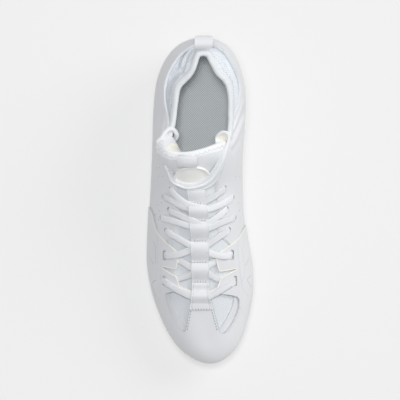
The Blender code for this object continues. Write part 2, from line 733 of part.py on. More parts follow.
def lace_strand(name, dip, plan, collection):
    """Flat oval cord that lies just over the last along plan points."""
    flat = smooth_path([Vector((x * MM, y * MM)) for x, y in plan], 2)
    sides = 6
    vertices = []
    places = []
    for point in flat:
        place, normal = drop(point.x, point.y)
        away = abs(point.x - keeper_x(point.y / MM))
        share = min(max((away - THROAT_NEAR) / (THROAT_FAR - THROAT_NEAR), 0), 1)
        rise = share * share * (3 - 2 * share)
        places.append((place + normal * (dip + (LACE_LIFT - dip) * rise), normal))
    for index, (place, normal) in enumerate(places):
        ahead = places[min(index + 1, len(places) - 1)][0] - places[max(index - 1, 0)][0]
        across = normal.cross(ahead).normalized()
        up = ahead.cross(across).normalized()
        for side in range(sides):
            angle = 2 * math.pi * (side + 0.5) / sides
            vertices.append(place + across * (math.cos(angle) * LACE_WIDTH / 2)
                            + up * (math.sin(angle) * LACE_THICKNESS / 2))
    faces = [tuple(reversed(range(sides))),
             tuple(range(len(vertices) - sides, len(vertices)))]
    for row in range(len(places) - 1):
        for side in range(sides):
            after = (side + 1) % sides
            faces.append((row * sides + side, row * sides + after,
                          (row + 1) * sides + after, (row + 1) * sides + side))
    return mesh_object(name, vertices, faces, collection)


def make_crossing(crossing, collection, cutters):
    dip = crossing.dip * MM
    first = lace_strand(crossing.name, dip, crossing.strands[0], collection)
    for plan in crossing.strands[1:]:
        second = lace_strand(crossing.name + "_over", dip, plan, collection)
        make_cutter(second, cutters)
        boolean(first, second, "UNION")
    return first


def make_patch(collection):
    """Oval patch that follows the tongue."""
    centre = Vector(PATCH_CENTRE) * MM
    rings = []
    for share in (1.0, 0.5):
        for index in range(PATCH_SIDES):
            angle = 2 * math.pi * index / PATCH_SIDES
            place, normal = drop(centre.x + math.cos(angle) * PATCH_HALF_WIDTH * share,
                                 centre.y + math.sin(angle) * PATCH_HALF_LENGTH * share)
            rings.append(place + normal * (GAP + PATCH_THICKNESS - TONGUE_DEPTH))
    faces = [tuple(range(PATCH_SIDES, 2 * PATCH_SIDES))]
    for index in range(PATCH_SIDES):
        after = (index + 1) % PATCH_SIDES
        faces.append((index, after, PATCH_SIDES + after, PATCH_SIDES + index))
    patch = mesh_object("tongue_patch", rings, faces, collection)
    solidify(patch, PATCH_THICKNESS)
    return patch


def make_tongue_loop(collection):
    """Webbing strip bowed off the top of the tongue."""
    points = []
    for row in TONGUE_LOOP:
        line = []
        for side in (-0.5, 0, 0.5):
            place, normal = drop(TONGUE_LOOP_X + side * TONGUE_LOOP_WIDTH, row.y * MM)
            line.append(place + normal * (row.height * MM + WEBBING - TONGUE_DEPTH))
        points.append(line)
    strip = sheet_object("tongue_loop", np.array(points), collection)
    solidify(strip, WEBBING)
    return strip


def make_heel_loop(collection):
    """Webbing strip that rises off the heel and bows in over the sleeve's rim."""
    points = np.array([[(HEEL_LOOP_X + side * HEEL_LOOP_WIDTH, row.y * MM, row.height * MM)
                        for side in (0.5, 0, -0.5)] for row in HEEL_LOOP])
    strip = sheet_object("heel_loop", points, collection)
    solidify(strip, WEBBING)
    return strip


def centre_on_floor(collection):
    """Put the middle of the whole box over the origin, with the stud tips on z = 0."""
    places = np.array([vertex.co for item in collection.objects for vertex in item.data.vertices])
    low = places.min(axis=0)
    high = places.max(axis=0)
    move = Matrix.Translation((-(low[0] + high[0]) / 2, -(low[1] + high[1]) / 2, -low[2]))
    for item in collection.objects:
        item.data.transform(move)


def main():
    clear_scene()
    parts = new_collection("lacrosse_cleat")
    cutters = new_collection("cutters")
    white_shell = principled("white_synthetic", (0.86, 0.87, 0.88), 0.45)
    white_knit = principled("white_knit", (0.80, 0.82, 0.84), 0.8)
    white_rubber = principled("white_plate", (0.84, 0.85, 0.86), 0.4)
    grey_mesh = principled("grey_mesh", (0.42, 0.44, 0.44), 0.9)
    white_webbing = principled("white_webbing", (0.85, 0.86, 0.87), 0.75)
    cream_patch = principled("cream_patch", (0.80, 0.80, 0.76), 0.5)
    finish(make_outsole(parts, cutters), white_rubber)
    finish(make_upper(parts, cutters), white_shell)
    finish(make_vamp(parts), white_knit)
    finish(make_tongue(parts), white_knit)
    finish(make_cuff(parts), white_knit)
    finish(make_insole(parts), grey_mesh)
    finish(make_lace_keeper(parts), white_webbing)
    for crossing in CROSSINGS:
        finish(make_crossing(crossing, parts, cutters), white_webbing)
    finish(make_patch(parts), cream_patch)
    finish(make_tongue_loop(parts), white_webbing)
    finish(make_heel_loop(parts), white_webbing)
    centre_on_floor(parts)


main()
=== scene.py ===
"""Looks of a white lacrosse cleat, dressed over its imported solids.

Shapes are worked out in millimetres on the shoe's last, a ring of ribs that run from the
feather edge over the widest line up to the spine, and become metres when a mesh is made.
The toe points to -Y, the big-toe (medial) side to +X, and the studs stand on z = 0.
"""
import math
from collections import namedtuple

import bpy
import numpy as np
from mathutils import Matrix, Vector
from mathutils.bvhtree import BVHTree


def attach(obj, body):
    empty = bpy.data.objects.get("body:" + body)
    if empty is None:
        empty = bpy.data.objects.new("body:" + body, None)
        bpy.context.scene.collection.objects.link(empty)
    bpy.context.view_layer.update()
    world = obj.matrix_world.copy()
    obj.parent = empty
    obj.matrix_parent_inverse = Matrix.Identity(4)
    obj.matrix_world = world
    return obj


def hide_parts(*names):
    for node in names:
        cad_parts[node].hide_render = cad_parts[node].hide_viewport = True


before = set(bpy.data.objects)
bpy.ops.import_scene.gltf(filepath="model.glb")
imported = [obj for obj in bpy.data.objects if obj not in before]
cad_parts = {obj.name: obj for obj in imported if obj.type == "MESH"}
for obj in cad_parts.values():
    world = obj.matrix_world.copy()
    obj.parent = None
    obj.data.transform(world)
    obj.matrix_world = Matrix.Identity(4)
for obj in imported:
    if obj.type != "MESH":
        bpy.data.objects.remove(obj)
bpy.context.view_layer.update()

MM = 0.001
# Least length that is divided by.
TINY = 1e-9
LENGTH = 294.0
BALL_WIDTH = 94.8
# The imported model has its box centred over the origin; the last is drawn this far off it.
SHIFT = np.array((-0.124, 0.446, 0.0))

# Layers over and under the last, as depths along its normal.
OVERLAY = (0.05, 0.95)
QUARTER = (-2.3, 0.0)
TOE_BASE = (-1.6, -0.8)
VAMP = (-3.6, -2.4)
VAMP_SIDE_RISE = 1.0
THROAT_ROLL = 1.8
THROAT_ROLL_WIDTH = 5.0
TONGUE_TOP_DEPTH = -4.05
TONGUE_SIDE_RISE = 2.0
TONGUE_WALL = 3.2
CUFF_DEPTH = 2.6
CUFF_MEDIAL_RISE = 1.1
CUFF_RIM_DEPTH = -0.8
CUFF_WALL = 3.0
HEM_WIDTH = 6.6
HEM_HEIGHT = 5.2
# Both ends of the sleeve's hem turn down inside the shoe by these steps.
HEM_TAIL = ((0.0, -2.0, -1.2), (0.0, -3.2, -4.0), (0.0, -3.6, -8.0), (0.0, -3.6, -13.0))
LINING_WALL = 0.8
# Spacing of points along beads and cords.
TRIM_STEP = 1.2

# One row per rib from the heel tip to the toe tip.
# lat_ and med_: outline on the outer and inner side, spine_: where the rib ends on top.
# x and spine_x are shares of BALL_WIDTH, y and spine_y shares of LENGTH, tuck_ (how far
# the feather edge lies inside the outline), widest and ridge are heights, square is the
# roundness power and edge_ the plan share at which the shell's edge cuts the rib.
Rib = namedtuple("Rib", "lat_x lat_y med_x med_y spine_x spine_y tuck_lat tuck_med "
                        "widest ridge square edge_lat edge_med")
RIBS = (
    Rib(.037, .495, .037, .495, .032, .330, 6.0, 6.0, 46.0, 106.0, 3.20, .890, .890),
    Rib(-.172, .477, .237, .474, .032, .328, 6.0, 6.0, 46.0, 106.0, 3.20, .845, .880),
    Rib(-.311, .434, .348, .429, .031, .323, 6.5, 7.0, 46.0, 106.0, 3.10, .815, .870),
    Rib(-.396, .374, .411, .369, .028, .313, 7.0, 8.0, 45.5, 105.0, 3.00, .830, .915),
    Rib(-.432, .306, .435, .306, .018, .286, 7.5, 9.5, 44.0, 102.5, 2.90, .790, .870),
    Rib(-.446, .221, .426, .221, -.025, .221, 8.0, 11.0, 42.0, 104.0, 2.70, .650, .720),
    Rib(-.453, .136, .407, .136, -.110, .136, 8.0, 11.0, 40.0, 117.0, 2.30, .690, .710),
    Rib(-.464, .051, .405, .051, -.050, .051, 7.0, 10.0, 38.0, 95.5, 2.05, .436, .426),
    Rib(-.479, -.034, .413, -.034, -.005, -.034, 6.5, 8.5, 35.0, 84.5, 1.95, .420, .440),
    Rib(-.491, -.119, .447, -.119, .006, -.119, 5.8, 7.2, 31.0, 75.5, 2.00, .420, .390),
    Rib(-.490, -.204, .491, -.204, .016, -.204, 5.4, 6.0, 28.0, 67.0, 2.10, .450, .300),
    Rib(-.439, -.289, .491, -.289, .026, -.279, 5.4, 5.6, 28.0, 60.0, 2.16, .280, .220),
    Rib(-.352, -.366, .442, -.368, .042, -.335, 5.6, 5.6, 30.0, 55.0, 2.13, 0, 0),
    Rib(-.232, -.435, .359, -.440, .056, -.365, 6.0, 6.0, 33.0, 52.0, 2.07, 0, 0),
    Rib(-.082, -.479, .234, -.483, .066, -.385, 6.4, 6.4, 35.0, 49.6, 2.06, 0, 0),
    Rib(.090, -.498, .090, -.498, .070, -.395, 6.6, 6.6, 35.5, 48.4, 2.06, 0, 0),
)
TOE_RIB = len(RIBS) - 1
RING = 2 * TOE_RIB
FINE_STEP = 0.02

# Sole seen from the side: y as a share of LENGTH, and heights.
Profile = namedtuple("Profile", "y bottom feather side_wall")
PROFILE = (
    Profile(-.500, 20.5, 25.0, 6.5), Profile(-.440, 16.5, 21.3, 5.0),
    Profile(-.360, 12.5, 17.5, 3.6), Profile(-.280, 10.2, 15.2, 3.2),
    Profile(-.200, 10.2, 15.0, 3.2), Profile(-.100, 11.7, 16.5, 3.6),
    Profile(.000, 13.6, 18.8, 4.6), Profile(.100, 14.0, 20.3, 5.6),
    Profile(.200, 12.5, 21.0, 6.0), Profile(.300, 11.0, 21.0, 6.0),
    Profile(.420, 11.0, 21.0, 6.5), Profile(.500, 13.0, 21.5, 7.0),
)

# Plate: its wall and its clearance round the shell, rows to a rib, rings under it and on its
# seat as shares of the way in to the spine, and the section of the side wall's lip.
SOLE_WALL = 1.8
SOLE_CLEAR = 0.7
SOLE_STEPS = 8
SOLE_SHARES = (1.0, 0.75, 0.5, 0.25, 0.06)
SOLE_EDGE_SHARE = 0.4
SOLE_EDGE_RISE = 0.5
SIDE_DROP = 1.5
SEAT_DROP = 0.35
SEAT_SHARES = (0.2, 0.6, 1.0)
Lip = namedtuple("Lip", "rise wall")
SIDE_LIP = (Lip(0.35, 1.0), Lip(0.75, 0.95), Lip(0.95, 0.8), Lip(1.0, 0.5), Lip(0.95, 0.12), Lip(0.7, 0))

# Rings of the sockliner from its underside out round its edge and in over its dished top:
# share of the way in to the spine, and height over the feather edge.
Ring = namedtuple("Ring", "share lift")
INSOLE_INSET = 4.2
INSOLE_RINGS = (
    Ring(1.0, 0.6), Ring(0.9, 0.6), Ring(0.4, 0.6), Ring(0.01, 0.6), Ring(0.0, 0.9), Ring(0.0, 3.8),
    Ring(0.012, 4.4), Ring(0.05, 4.6), Ring(0.15, 4.5), Ring(0.3, 4.25), Ring(0.5, 4.0),
    Ring(0.75, 3.95), Ring(1.0, 3.95),
)

# Moulded studs: centre, length, width and turn in degrees of the blade.
Stud = namedtuple("Stud", "x y length width turn")
STUDS = (
    Stud(8, -124, 15, 12, 90), Stud(-19, -106, 17, 12, -32), Stud(29, -108, 17, 12, 28),
    Stud(5, -93, 14, 11, 0), Stud(-31, -77, 18, 12, -14), Stud(35, -79, 18, 12, 8),
    Stud(-35, -46, 18, 12, 0), Stud(31, -47, 18, 12, -8), Stud(-1, -58, 14, 11, 0),
    Stud(-22, 70, 18, 12, 4), Stud(19, 70, 18, 12, -4), Stud(-18, 110, 18, 12, -18),
    Stud(22, 109, 18, 12, 18),
)
STUD_TIP = 0.66
STUD_SINK = 2.0
STUD_EDGE = 0.6

# Raised lines of the tread: width and height of a line, the border's place between the edge
# and the spine, the step round a stud, and the arch chevrons (first, end and spacing in y).
TREAD_WIDTH = 2.2
TREAD_HEIGHT = 1.8
BORDER_SHARE = 0.13
STUD_STEP = 0.9
CHEVRON_ROWS = (-26.0, 52.0, 9.0)
CHEVRON_HALF = 17.0
CHEVRON_SWEEP = 7.0
CHEVRON_STEP = 1.5

# Top rim of the ankle sleeve, side by side, and its height.
Rim = namedtuple("Rim", "rib lat_x lat_y med_x med_y height")
RIM = (
    Rim(0.0, 3.0, 129.4, 3.0, 129.4, 105.0), Rim(0.3, -1.6, 128.0, 7.6, 127.8, 104.8),
    Rim(0.6, -3.1, 124.2, 9.2, 123.9, 104.5), Rim(1.1, -4.6, 116.9, 12.0, 117.4, 104.0),
    Rim(2.0, -8.2, 109.2, 15.9, 110.2, 102.0), Rim(2.5, -12.0, 105.2, 20.6, 106.2, 101.0),
    Rim(3.0, -16.4, 100.8, 24.0, 101.0, 100.0), Rim(4.0, -20.2, 87.0, 26.6, 87.0, 98.5),
    Rim(5.0, -23.0, 66.0, 26.2, 65.0, 98.0), Rim(5.33, -25.0, 56.5, 25.4, 57.5, 99.0),
)
# Rows of the sleeve inside the shell (first and last share of the climb, count), the share from
# which it leans in, and the shares in which it turns to the rim and its creases come in.
SLEEVE_INSIDE = (0.02, 0.72, 8)
SLEEVE_LEAN = 0.85
SLEEVE_TURN = (0.5, 1.0)
SLEEVE_CREASE_IN = (0.1, 0.4)
MEDIAL_RISE_RIBS = (0.0, 1.5)
SLEEVE_SEAM_ROW = -4
SLEEVE_STITCH_STEP = 2.6

# Soft creases of the ankle sleeve and quarters: height, width and plan line of each.
Crease = namedtuple("Crease", "height width line")
SLEEVE_CREASES = (
    Crease(1.9, 1.9, ((-6.0, 139.0), (-11.1, 132.6), (-15.0, 125.6), (-16.9, 119.8))),
    Crease(-1.3, 1.6, ((-8.5, 134.0), (-12.3, 126.5), (-13.8, 120.5), (-16.5, 114.5))),
    Crease(1.8, 1.8, ((-6.6, 132.6), (-9.8, 125.6), (-11.1, 119.8), (-13.7, 115.3))),
    Crease(-0.9, 2.0, ((-13.0, 134.0), (-18.2, 127.0), (-20.8, 119.0))),
    Crease(-1.2, 1.5, ((-13.7, 116.4), (-19.0, 112.4), (-27.1, 108.9))),
    Crease(1.0, 2.2, ((-17.0, 109.0), (-22.0, 103.5), (-25.0, 96.0))),
    Crease(-0.8, 1.8, ((-25.0, 88.0), (-26.2, 78.0), (-27.0, 68.0))),
    Crease(0.9, 2.6, ((8.5, 136.0), (16.0, 129.0), (22.0, 120.5))),
    Crease(-0.9, 1.8, ((12.0, 133.5), (20.5, 124.5), (27.5, 113.0), (31.0, 103.5))),
    Crease(0.8, 1.3, ((15.0, 121.2), (18.6, 123.4))),
    Crease(0.8, 1.3, ((17.6, 116.8), (21.4, 119.2))),
    Crease(0.8, 1.3, ((20.2, 112.6), (24.2, 114.8))),
    Crease(0.8, 1.3, ((22.8, 108.2), (26.8, 110.4))),
    Crease(0.8, 1.3, ((25.6, 103.8), (29.6, 105.6))),
    Crease(-0.8, 1.8, ((31.0, 98.0), (30.8, 88.0), (29.2, 76.0))),
)
QUARTER_CREASES = (
    Crease(1.3, 1.5, ((37.9, 86.6), (34.0, 73.8), (29.5, 62.3))),
    Crease(-0.9, 1.3, ((38.8, 79.0), (35.6, 69.0), (30.6, 58.4))),
    Crease(1.2, 1.5, ((39.4, 72.0), (36.6, 66.1), (32.1, 54.6), (27.9, 48.0))),
    Crease(-0.7, 1.5, ((38.6, 60.0), (34.6, 51.0), (29.6, 42.6))),
    Crease(0.8, 1.8, ((-30.8, 74.0), (-33.8, 63.0), (-36.4, 52.0))),
    Crease(-0.7, 1.6, ((-34.0, 76.0), (-36.8, 62.0), (-38.6, 50.0))),
)
CREASE_STEP = 0.8

# Vamp and tongue edges: plan share across (lateral negative) and rib number along.
Edge = namedtuple("Edge", "across rib")
VAMP_TOP = (
    Edge(-.68, 6.42), Edge(-.53, 6.82), Edge(-.40, 7.08), Edge(-.24, 7.22), Edge(0, 7.27),
    Edge(.20, 7.22), Edge(.36, 7.08), Edge(.53, 6.80), Edge(.68, 6.40),
)
TONGUE_TOP = (
    Edge(-.70, 5.86), Edge(-.49, 5.98), Edge(-.25, 6.06), Edge(.04, 6.04), Edge(.25, 5.90),
    Edge(.49, 5.70), Edge(.67, 5.56),
)
TOP_LINE_END = 6.1
THROAT_RIM_REACH = .58
THROAT_RIM_START = 14.0
THROAT_RIM_FULL = 44.0
VAMP_TOE_RIB = 13.6
VAMP_TOE_REACH = (.86, .86)
VAMP_TOP_REACH = (.64, .64)
VAMP_NARROWING = 3.0
# The vamp bulges between the lace fingers: ranges across, at the back and at the front.
BULGE_SIDE = (16, 24)
BULGE_BACK = (-36, -30)
BULGE_FRONT = (-84, -78)
TONGUE_FOOT_RIB = 7.75
TONGUE_FOOT_REACH = (.60, .64)
TONGUE_TOP_REACH = (.74, .82)
TONGUE_RISE_ALONG = (0.5, 0.8)
TONGUE_RISE_ACROSS = (0.4, 0.8)

# Binding of the top line: each size along the collar, and what it gains at the throat.
BINDING_STEP = 1.5
BINDING_DEPTH = (0.7, 0.2)
BINDING_WIDTH = (2.4, 0.8)
BINDING_HEIGHT = 3.0

# Plan outlines of the cut edges, each a chain of strokes that meet at corners.
OVERLAY_OPENING = (
    ((-58.0, 2.0), (-47.4, -5.0), (-42.6, -12.0), (-40.4, -21.0), (-38.0, -28.8), (-32.8, -35.8),
     (-26.6, -41.2), (-20.4, -47.0)),
    ((-20.4, -47.0), (-19.9, -54.9), (-21.3, -62.1)),
    ((-21.3, -62.1), (-33.0, -59.7)),
    ((-33.0, -59.7), (-33.7, -60.5), (-33.0, -61.3)),
    ((-33.0, -61.3), (-27.1, -65.6), (-21.7, -68.3)),
    ((-21.7, -68.3), (-19.6, -73.0), (-18.9, -77.5)),
    ((-18.9, -77.5), (-7.4, -82.5)),
    ((-7.4, -82.5), (8.7, -82.5)),
    ((8.7, -82.5), (15.9, -79.0)),
    ((15.9, -79.0), (17.2, -75.0), (18.6, -70.1)),
    ((18.6, -70.1), (32.0, -63.2)),
    ((32.0, -63.2), (32.6, -62.4), (32.0, -61.6)),
    ((32.0, -61.6), (17.7, -64.3)),
    ((17.7, -64.3), (15.0, -54.9), (15.4, -48.6)),
    ((15.4, -48.6), (24.8, -42.4), (33.8, -35.2), (41.8, -21.8), (53.0, -5.0)),
    ((53.0, -5.0), (60.0, 40.0)),
    ((60.0, 40.0), (-60.0, 40.0)),
    ((-60.0, 40.0), (-58.0, 2.0)),
)
# The first strokes are the visible edge; the last three close the outline behind it.
OVERLAY_EDGE_STROKES = 15
OVERLAY_RIB = 7
TOE_BASE_RIB = 10.75
# Beads along the cut edges.
EDGE_BEAD = 1.3
WINDOW_BEAD = 0.9
BEAD_HEIGHT = 1.0
BEAD_LIFT = 0.6
LATERAL_WINDOW = (
    ((-29.6, -83.7), (-30.6, -85.4), (-29.4, -92.1), (-24.4, -103.6), (-18.1, -114.5), (-14.8, -117.8)),
    ((-14.8, -117.8), (-13.0, -118.2), (-12.1, -115.8)),
    ((-12.1, -115.8), (-8.9, -97.0), (-8.2, -87.5)),
    ((-8.2, -87.5), (-19.5, -82.2), (-29.6, -83.7)),
)
MEDIAL_WINDOW = (
    ((9.6, -87.5), (12.2, -97.9), (17.1, -116.4)),
    ((17.1, -116.4), (18.6, -119.2), (21.0, -119.9), (23.2, -118.6)),
    ((23.2, -118.6), (29.9, -109.4), (34.4, -98.5), (35.2, -90.5), (33.8, -87.6)),
    ((33.8, -87.6), (31.1, -86.2), (19.7, -84.1)),
    ((19.7, -84.1), (9.6, -87.5)),
)
LATERAL_BAND = (
    ((-27.6, -82.0), (-25.6, -93.4), (-20.5, -103.6), (-12.6, -113.0)),
    ((-12.6, -113.0), (-5.0, -112.0)),
    ((-5.0, -112.0), (-4.0, -74.0)),
    ((-4.0, -74.0), (-27.6, -74.0)),
    ((-27.6, -74.0), (-27.6, -82.0)),
)
MEDIAL_BAND = (
    ((31.2, -82.0), (30.7, -90.7), (28.1, -99.1), (22.2, -110.0), (17.4, -117.0)),
    ((17.4, -117.0), (9.0, -112.0)),
    ((9.0, -112.0), (6.0, -74.0)),
    ((6.0, -74.0), (31.2, -74.0)),
    ((31.2, -74.0), (31.2, -82.0)),
)
QUARTER_FRONT = (
    ((-60.0, -30.0), (-40.0, -44.0)),
    ((-40.0, -44.0), (-34.2, -40.6), (-30.2, -37.5), (-27.1, -35.6), (-23.5, -34.9), (-14.0, -34.2)),
    ((-14.0, -34.2), (11.0, -33.4)),
    ((11.0, -33.4), (18.6, -34.3), (23.0, -36.1), (26.6, -39.2), (30.2, -42.4), (38.0, -46.0)),
    ((38.0, -46.0), (60.0, -20.0)),
    ((60.0, -20.0), (60.0, -140.0)),
    ((60.0, -140.0), (-60.0, -140.0)),
    ((-60.0, -140.0), (-60.0, -30.0)),
)

# Round eyelets and lace slots, and the pinholes of the quarters.
EYELETS = ((-25.9, 9.7), (-33.0, 2.6), (-27.7, -9.1), (-34.8, -16.2), (-30.4, -27.4),
           (22.3, 10.6), (29.9, 1.7), (24.5, -8.2), (31.7, -16.2), (26.3, -27.0))
EYELET_RADIUS = 2.1
SLOTS = ((-31.7, -50.0), (-31.9, -72.8), (29.2, -49.5), (31.9, -72.8))
SLOT_HALF_WIDTH = 1.4
SLOT_HALF_LENGTH = 4.4
SLOT_CORNER = 0.4
SLOT_FLOOR = 30
PINHOLES = ((-38.7, 28.3), (-36.0, 28.3), (-36.9, 20.3), (-33.3, 20.3), (-34.2, -3.0),
            (-36.9, -4.8), (-36.0, -10.2), (-39.6, -13.7), (-36.9, -18.2),
            (36.4, 28.3), (33.8, 28.3), (35.4, 20.3), (32.0, 20.3), (34.6, -3.0),
            (37.0, -5.4), (35.4, -10.2), (38.4, -13.7))
PINHOLE_RADIUS = 0.5

# Lace route from its middle to either end: x, y and lift of the lace's own middle over the last.
LACE_TO_LATERAL = (
    (0.5, -86.4, 2.1), (-8.5, -85.6, 2.1), (-19.5, -80.3, 2.1),
    (-26.4, -76.0, 2.1), (-30.6, -73.6, 0.9), (-31.2, -72.6, -1.3),
    (-26.5, -72.0, -1.5), (-20.8, -71.6, -1.3), (-8.3, -67.4, -0.7),
    (0.8, -63.2, -1.3), (7.8, -59.6, -0.7), (15.0, -55.6, -1.2),
    (22.5, -52.0, -1.5), (28.1, -50.2, -1.3), (27.5, -49.8, 0.9),
    (23.4, -50.2, 2.1), (15.0, -49.4, 1.9), (7.8, -47.2, 0.7),
    (1.0, -43.8, 0.7), (-9.4, -39.9, 0.9), (-20.5, -33.4, 1.3),
    (-27.4, -29.2, 1.3), (-29.9, -27.5, -0.4), (-30.6, -25.6, -3.4),
    (-33.4, -20.0, -4.0), (-34.6, -17.4, -2.8), (-34.2, -16.4, -0.4),
    (-31.0, -16.9, 1.3), (-20.0, -19.8, 1.3), (-8.2, -23.5, 0.3),
    (1.0, -22.6, -1.3), (8.5, -20.2, 0.3), (17.0, -13.8, 1.3),
    (22.0, -9.7, 1.3), (24.0, -8.2, -0.4), (25.0, -6.4, -3.4),
    (28.4, -0.8, -4.0), (29.7, 0.8, -2.8), (29.3, 1.5, -0.4),
    (26.2, 0.4, 1.3), (17.0, -4.6, 1.3), (7.0, -8.4, 0.8),
    (-1.4, -7.0, 0.7), (-10.7, -4.3, 0.8), (-19.0, 2.0, 1.3),
    (-24.0, 7.8, 1.3), (-25.4, 9.6, -0.4), (-26.0, 11.0, -3.4),
)
LACE_TO_MEDIAL = (
    (0.5, -86.4, 2.1), (8.7, -85.8, 2.1), (19.8, -79.6, 2.1),
    (26.0, -76.0, 2.1), (30.2, -73.8, 0.9), (30.9, -72.6, -1.3),
    (25.5, -72.2, -1.5), (17.7, -71.9, -1.3), (8.0, -66.6, 0.2),
    (0.8, -63.0, 0.7), (-8.3, -60.4, 0.2), (-20.6, -53.4, -1.2),
    (-26.5, -51.2, -1.5), (-31.1, -50.4, -1.3), (-30.5, -50.0, 0.9),
    (-26.4, -49.9, 2.1), (-17.5, -48.4, 1.9), (-8.0, -44.9, 0.4),
    (1.0, -42.6, -1.3), (8.6, -39.2, 0.4), (17.0, -32.8, 1.3),
    (23.4, -28.8, 1.3), (25.8, -27.0, -0.4), (26.6, -25.4, -3.4),
    (30.0, -20.0, -4.0), (31.5, -17.4, -2.8), (31.1, -16.4, -0.4),
    (27.6, -17.0, 1.3), (18.0, -20.6, 1.3), (8.5, -24.9, 0.8),
    (1.0, -22.8, 0.7), (-8.6, -18.0, 0.8), (-18.0, -13.6, 1.3),
    (-25.0, -10.4, 1.3), (-27.2, -9.2, -0.4), (-28.0, -7.6, -3.4),
    (-31.4, 0.4, -4.0), (-32.8, 1.6, -2.8), (-32.4, 2.4, -0.4),
    (-28.8, 1.6, 1.3), (-20.0, -3.6, 1.3), (-10.0, -7.7, 0.3),
    (-1.4, -6.0, -1.3), (6.5, -0.8, 0.3), (14.6, 4.6, 1.3),
    (20.2, 9.0, 1.3), (21.8, 10.6, -0.4), (22.4, 12.0, -3.4),
)
LACE_WIDTH = 6.4
LACE_HEIGHT = 2.1
LACE_PINCH = 2.2
LACE_SWELL = 0.5
# The lace is pinched near an eyelet, below this lift and over this range of it.
LACE_NEAR = 4.0
LACE_DIP = 0.6
LACE_DIP_RANGE = 1.4
# How much of its last direction the lace keeps, so that it doesn't flip over in a hole.
LACE_STEADY = 0.35

# Lace keeper: side edges at each y, and the tack rows with the rise of the loop after them.
Strap = namedtuple("Strap", "y left right")
KEEPER_EDGES = (
    Strap(12.0, -11.4, 3.9), Strap(-3.4, -9.6, 5.6), Strap(-18.7, -8.4, 6.9), Strap(-36.5, -7.5, 7.4),
    Strap(-55.8, -7.2, 7.7), Strap(-73.4, -6.9, 7.8), Strap(-84.0, -6.9, 7.9), Strap(-97.8, -8.8, 11.0),
)
Tack = namedtuple("Tack", "y lift bow sewn")
KEEPER_TACKS = (
    Tack(11.0, -2.0, 1.7, False), Tack(-3.4, -1.1, 3.2, True), Tack(-18.7, -1.1, 3.2, True),
    Tack(-36.5, -1.1, 3.2, True), Tack(-55.8, -1.1, 3.2, True), Tack(-73.4, -1.1, 0.5, True),
    Tack(-80.2, -0.4, 3.2, False), Tack(-94.0, 0.9, 0.0, False), Tack(-97.6, 0.9, 0.0, True),
)
KEEPER_SIDE_SEAM = (-96.0, -75.5)
KEEPER_WALL = 1.2
KEEPER_FULLNESS = 1.1
KEEPER_LEAN = 0.66
KEEPER_LAND = 1.3
SELVEDGE_WIDTH = 1.3
SELVEDGE_HEIGHT = 1.5
SELVEDGE_DEPTH = 0.5
TACK_MARGIN = 1.4
TACK_STEP = 2.4
TACK_LIFT = 0.25
TACK_SLANT = 0.5
# Spacing and lift of the grey marks that paint the shade along each tack row.
TACK_SHADE_STEP = 1.2
TACK_SHADE_LIFT = 0.05

# Sizes of the stitches.
Stitch = namedtuple("Stitch", "length width height")
ZIGZAG_STITCH = Stitch(3.2, 1.0, 0.9)
SLEEVE_STITCH = Stitch(1.9, 0.9, 0.8)
TACK_STITCH = Stitch(1.9, 1.4, 1.0)
TACK_SHADE_MARK = Stitch(1.1, 2.2, 0.4)
SIDE_STITCH = Stitch(1.7, 0.9, 0.5)
HEEL_STITCH = Stitch(1.7, 1.1, 0.7)
TOE_STITCH = Stitch(1.9, 1.0, 0.6)
PRESSED_STITCH = Stitch(1.4, 1.0, 0.5)
STITCH_LIFT = 0.2

# Seams beside the toe strip.
TOE_SEAMS = (
    ((-6.3, -84.0), (-7.6, -97.0), (-10.9, -116.0)),
    ((7.9, -84.0), (10.2, -97.0), (15.2, -116.0)),
)
TOE_STITCH_STEP = 2.6
TOE_STITCH_LIFT = 0.1

# Rows of pressed stitches and plain pressed lines on the forefoot overlay.
PRESSED_ROWS = (
    ((-37.1, -33.7), (-37.4, -45.0), (-37.1, -57.6)),
    ((-34.2, -59.8), (-34.2, -67.0), (-34.3, -75.4), (-34.9, -83.0)),
    ((33.4, -38.0), (33.3, -45.6), (34.8, -57.6), (35.5, -66.5), (37.0, -75.5), (39.2, -81.4), (43.4, -88.0)),
    ((39.2, -40.4), (37.4, -44.2), (38.1, -50.1), (39.6, -61.3), (39.2, -68.0), (37.4, -72.5)),
    ((36.0, -97.0), (33.4, -105.0), (29.0, -113.0), (25.6, -117.6)),
)
PRESSED_LINES = (
    ((43.0, -53.1), (40.3, -59.1)),
    ((45.0, -68.0), (41.8, -71.8), (44.0, -76.0), (45.6, -78.5)),
    ((-40.9, -37.4), (-39.0, -43.4), (-38.8, -57.0)),
    ((-44.0, -51.6), (-40.9, -57.6)),
    ((-38.6, -71.7), (-42.2, -76.2), (-38.6, -86.7)),
)
PRESSED_STEP = 2.3
PRESSED_LINE_STEP = 1.0
PRESSED_WIDTH = 0.9
PRESSED_HEIGHT = 0.3

# Pull loops: distance along Y and height, over the tongue's face or over the floor.
LoopRow = namedtuple("LoopRow", "y height")
TONGUE_LOOP = (LoopRow(30.4, 0.3), LoopRow(28.8, 2.2), LoopRow(29.8, 4.2), LoopRow(33.4, 5.0),
               LoopRow(37.4, 4.0), LoopRow(38.8, 2.0))
TONGUE_LOOP_SPAN = (-19.6, -2.6)
HEEL_LOOP = (LoopRow(145.5, 76.0), LoopRow(145.5, 86.0), LoopRow(145.6, 95.0), LoopRow(145.9, 102.0),
             LoopRow(144.6, 106.6), LoopRow(141.2, 109.2), LoopRow(137.2, 109.2), LoopRow(134.4, 107.4))
HEEL_LOOP_SPAN = (-4.6, 11.4)
# Tacks of the heel loop: their heights, first, end and spacing in x, and their slant.
HEEL_TACKS = (78.4, 80.4)
HEEL_TACK_SPAN = (-3.2, 10.6, 2.0)
HEEL_TACK_AHEAD = (1.0, 0.0, 0.25)
BACK = (0.0, 1.0, 0.0)
WEBBING = 1.4

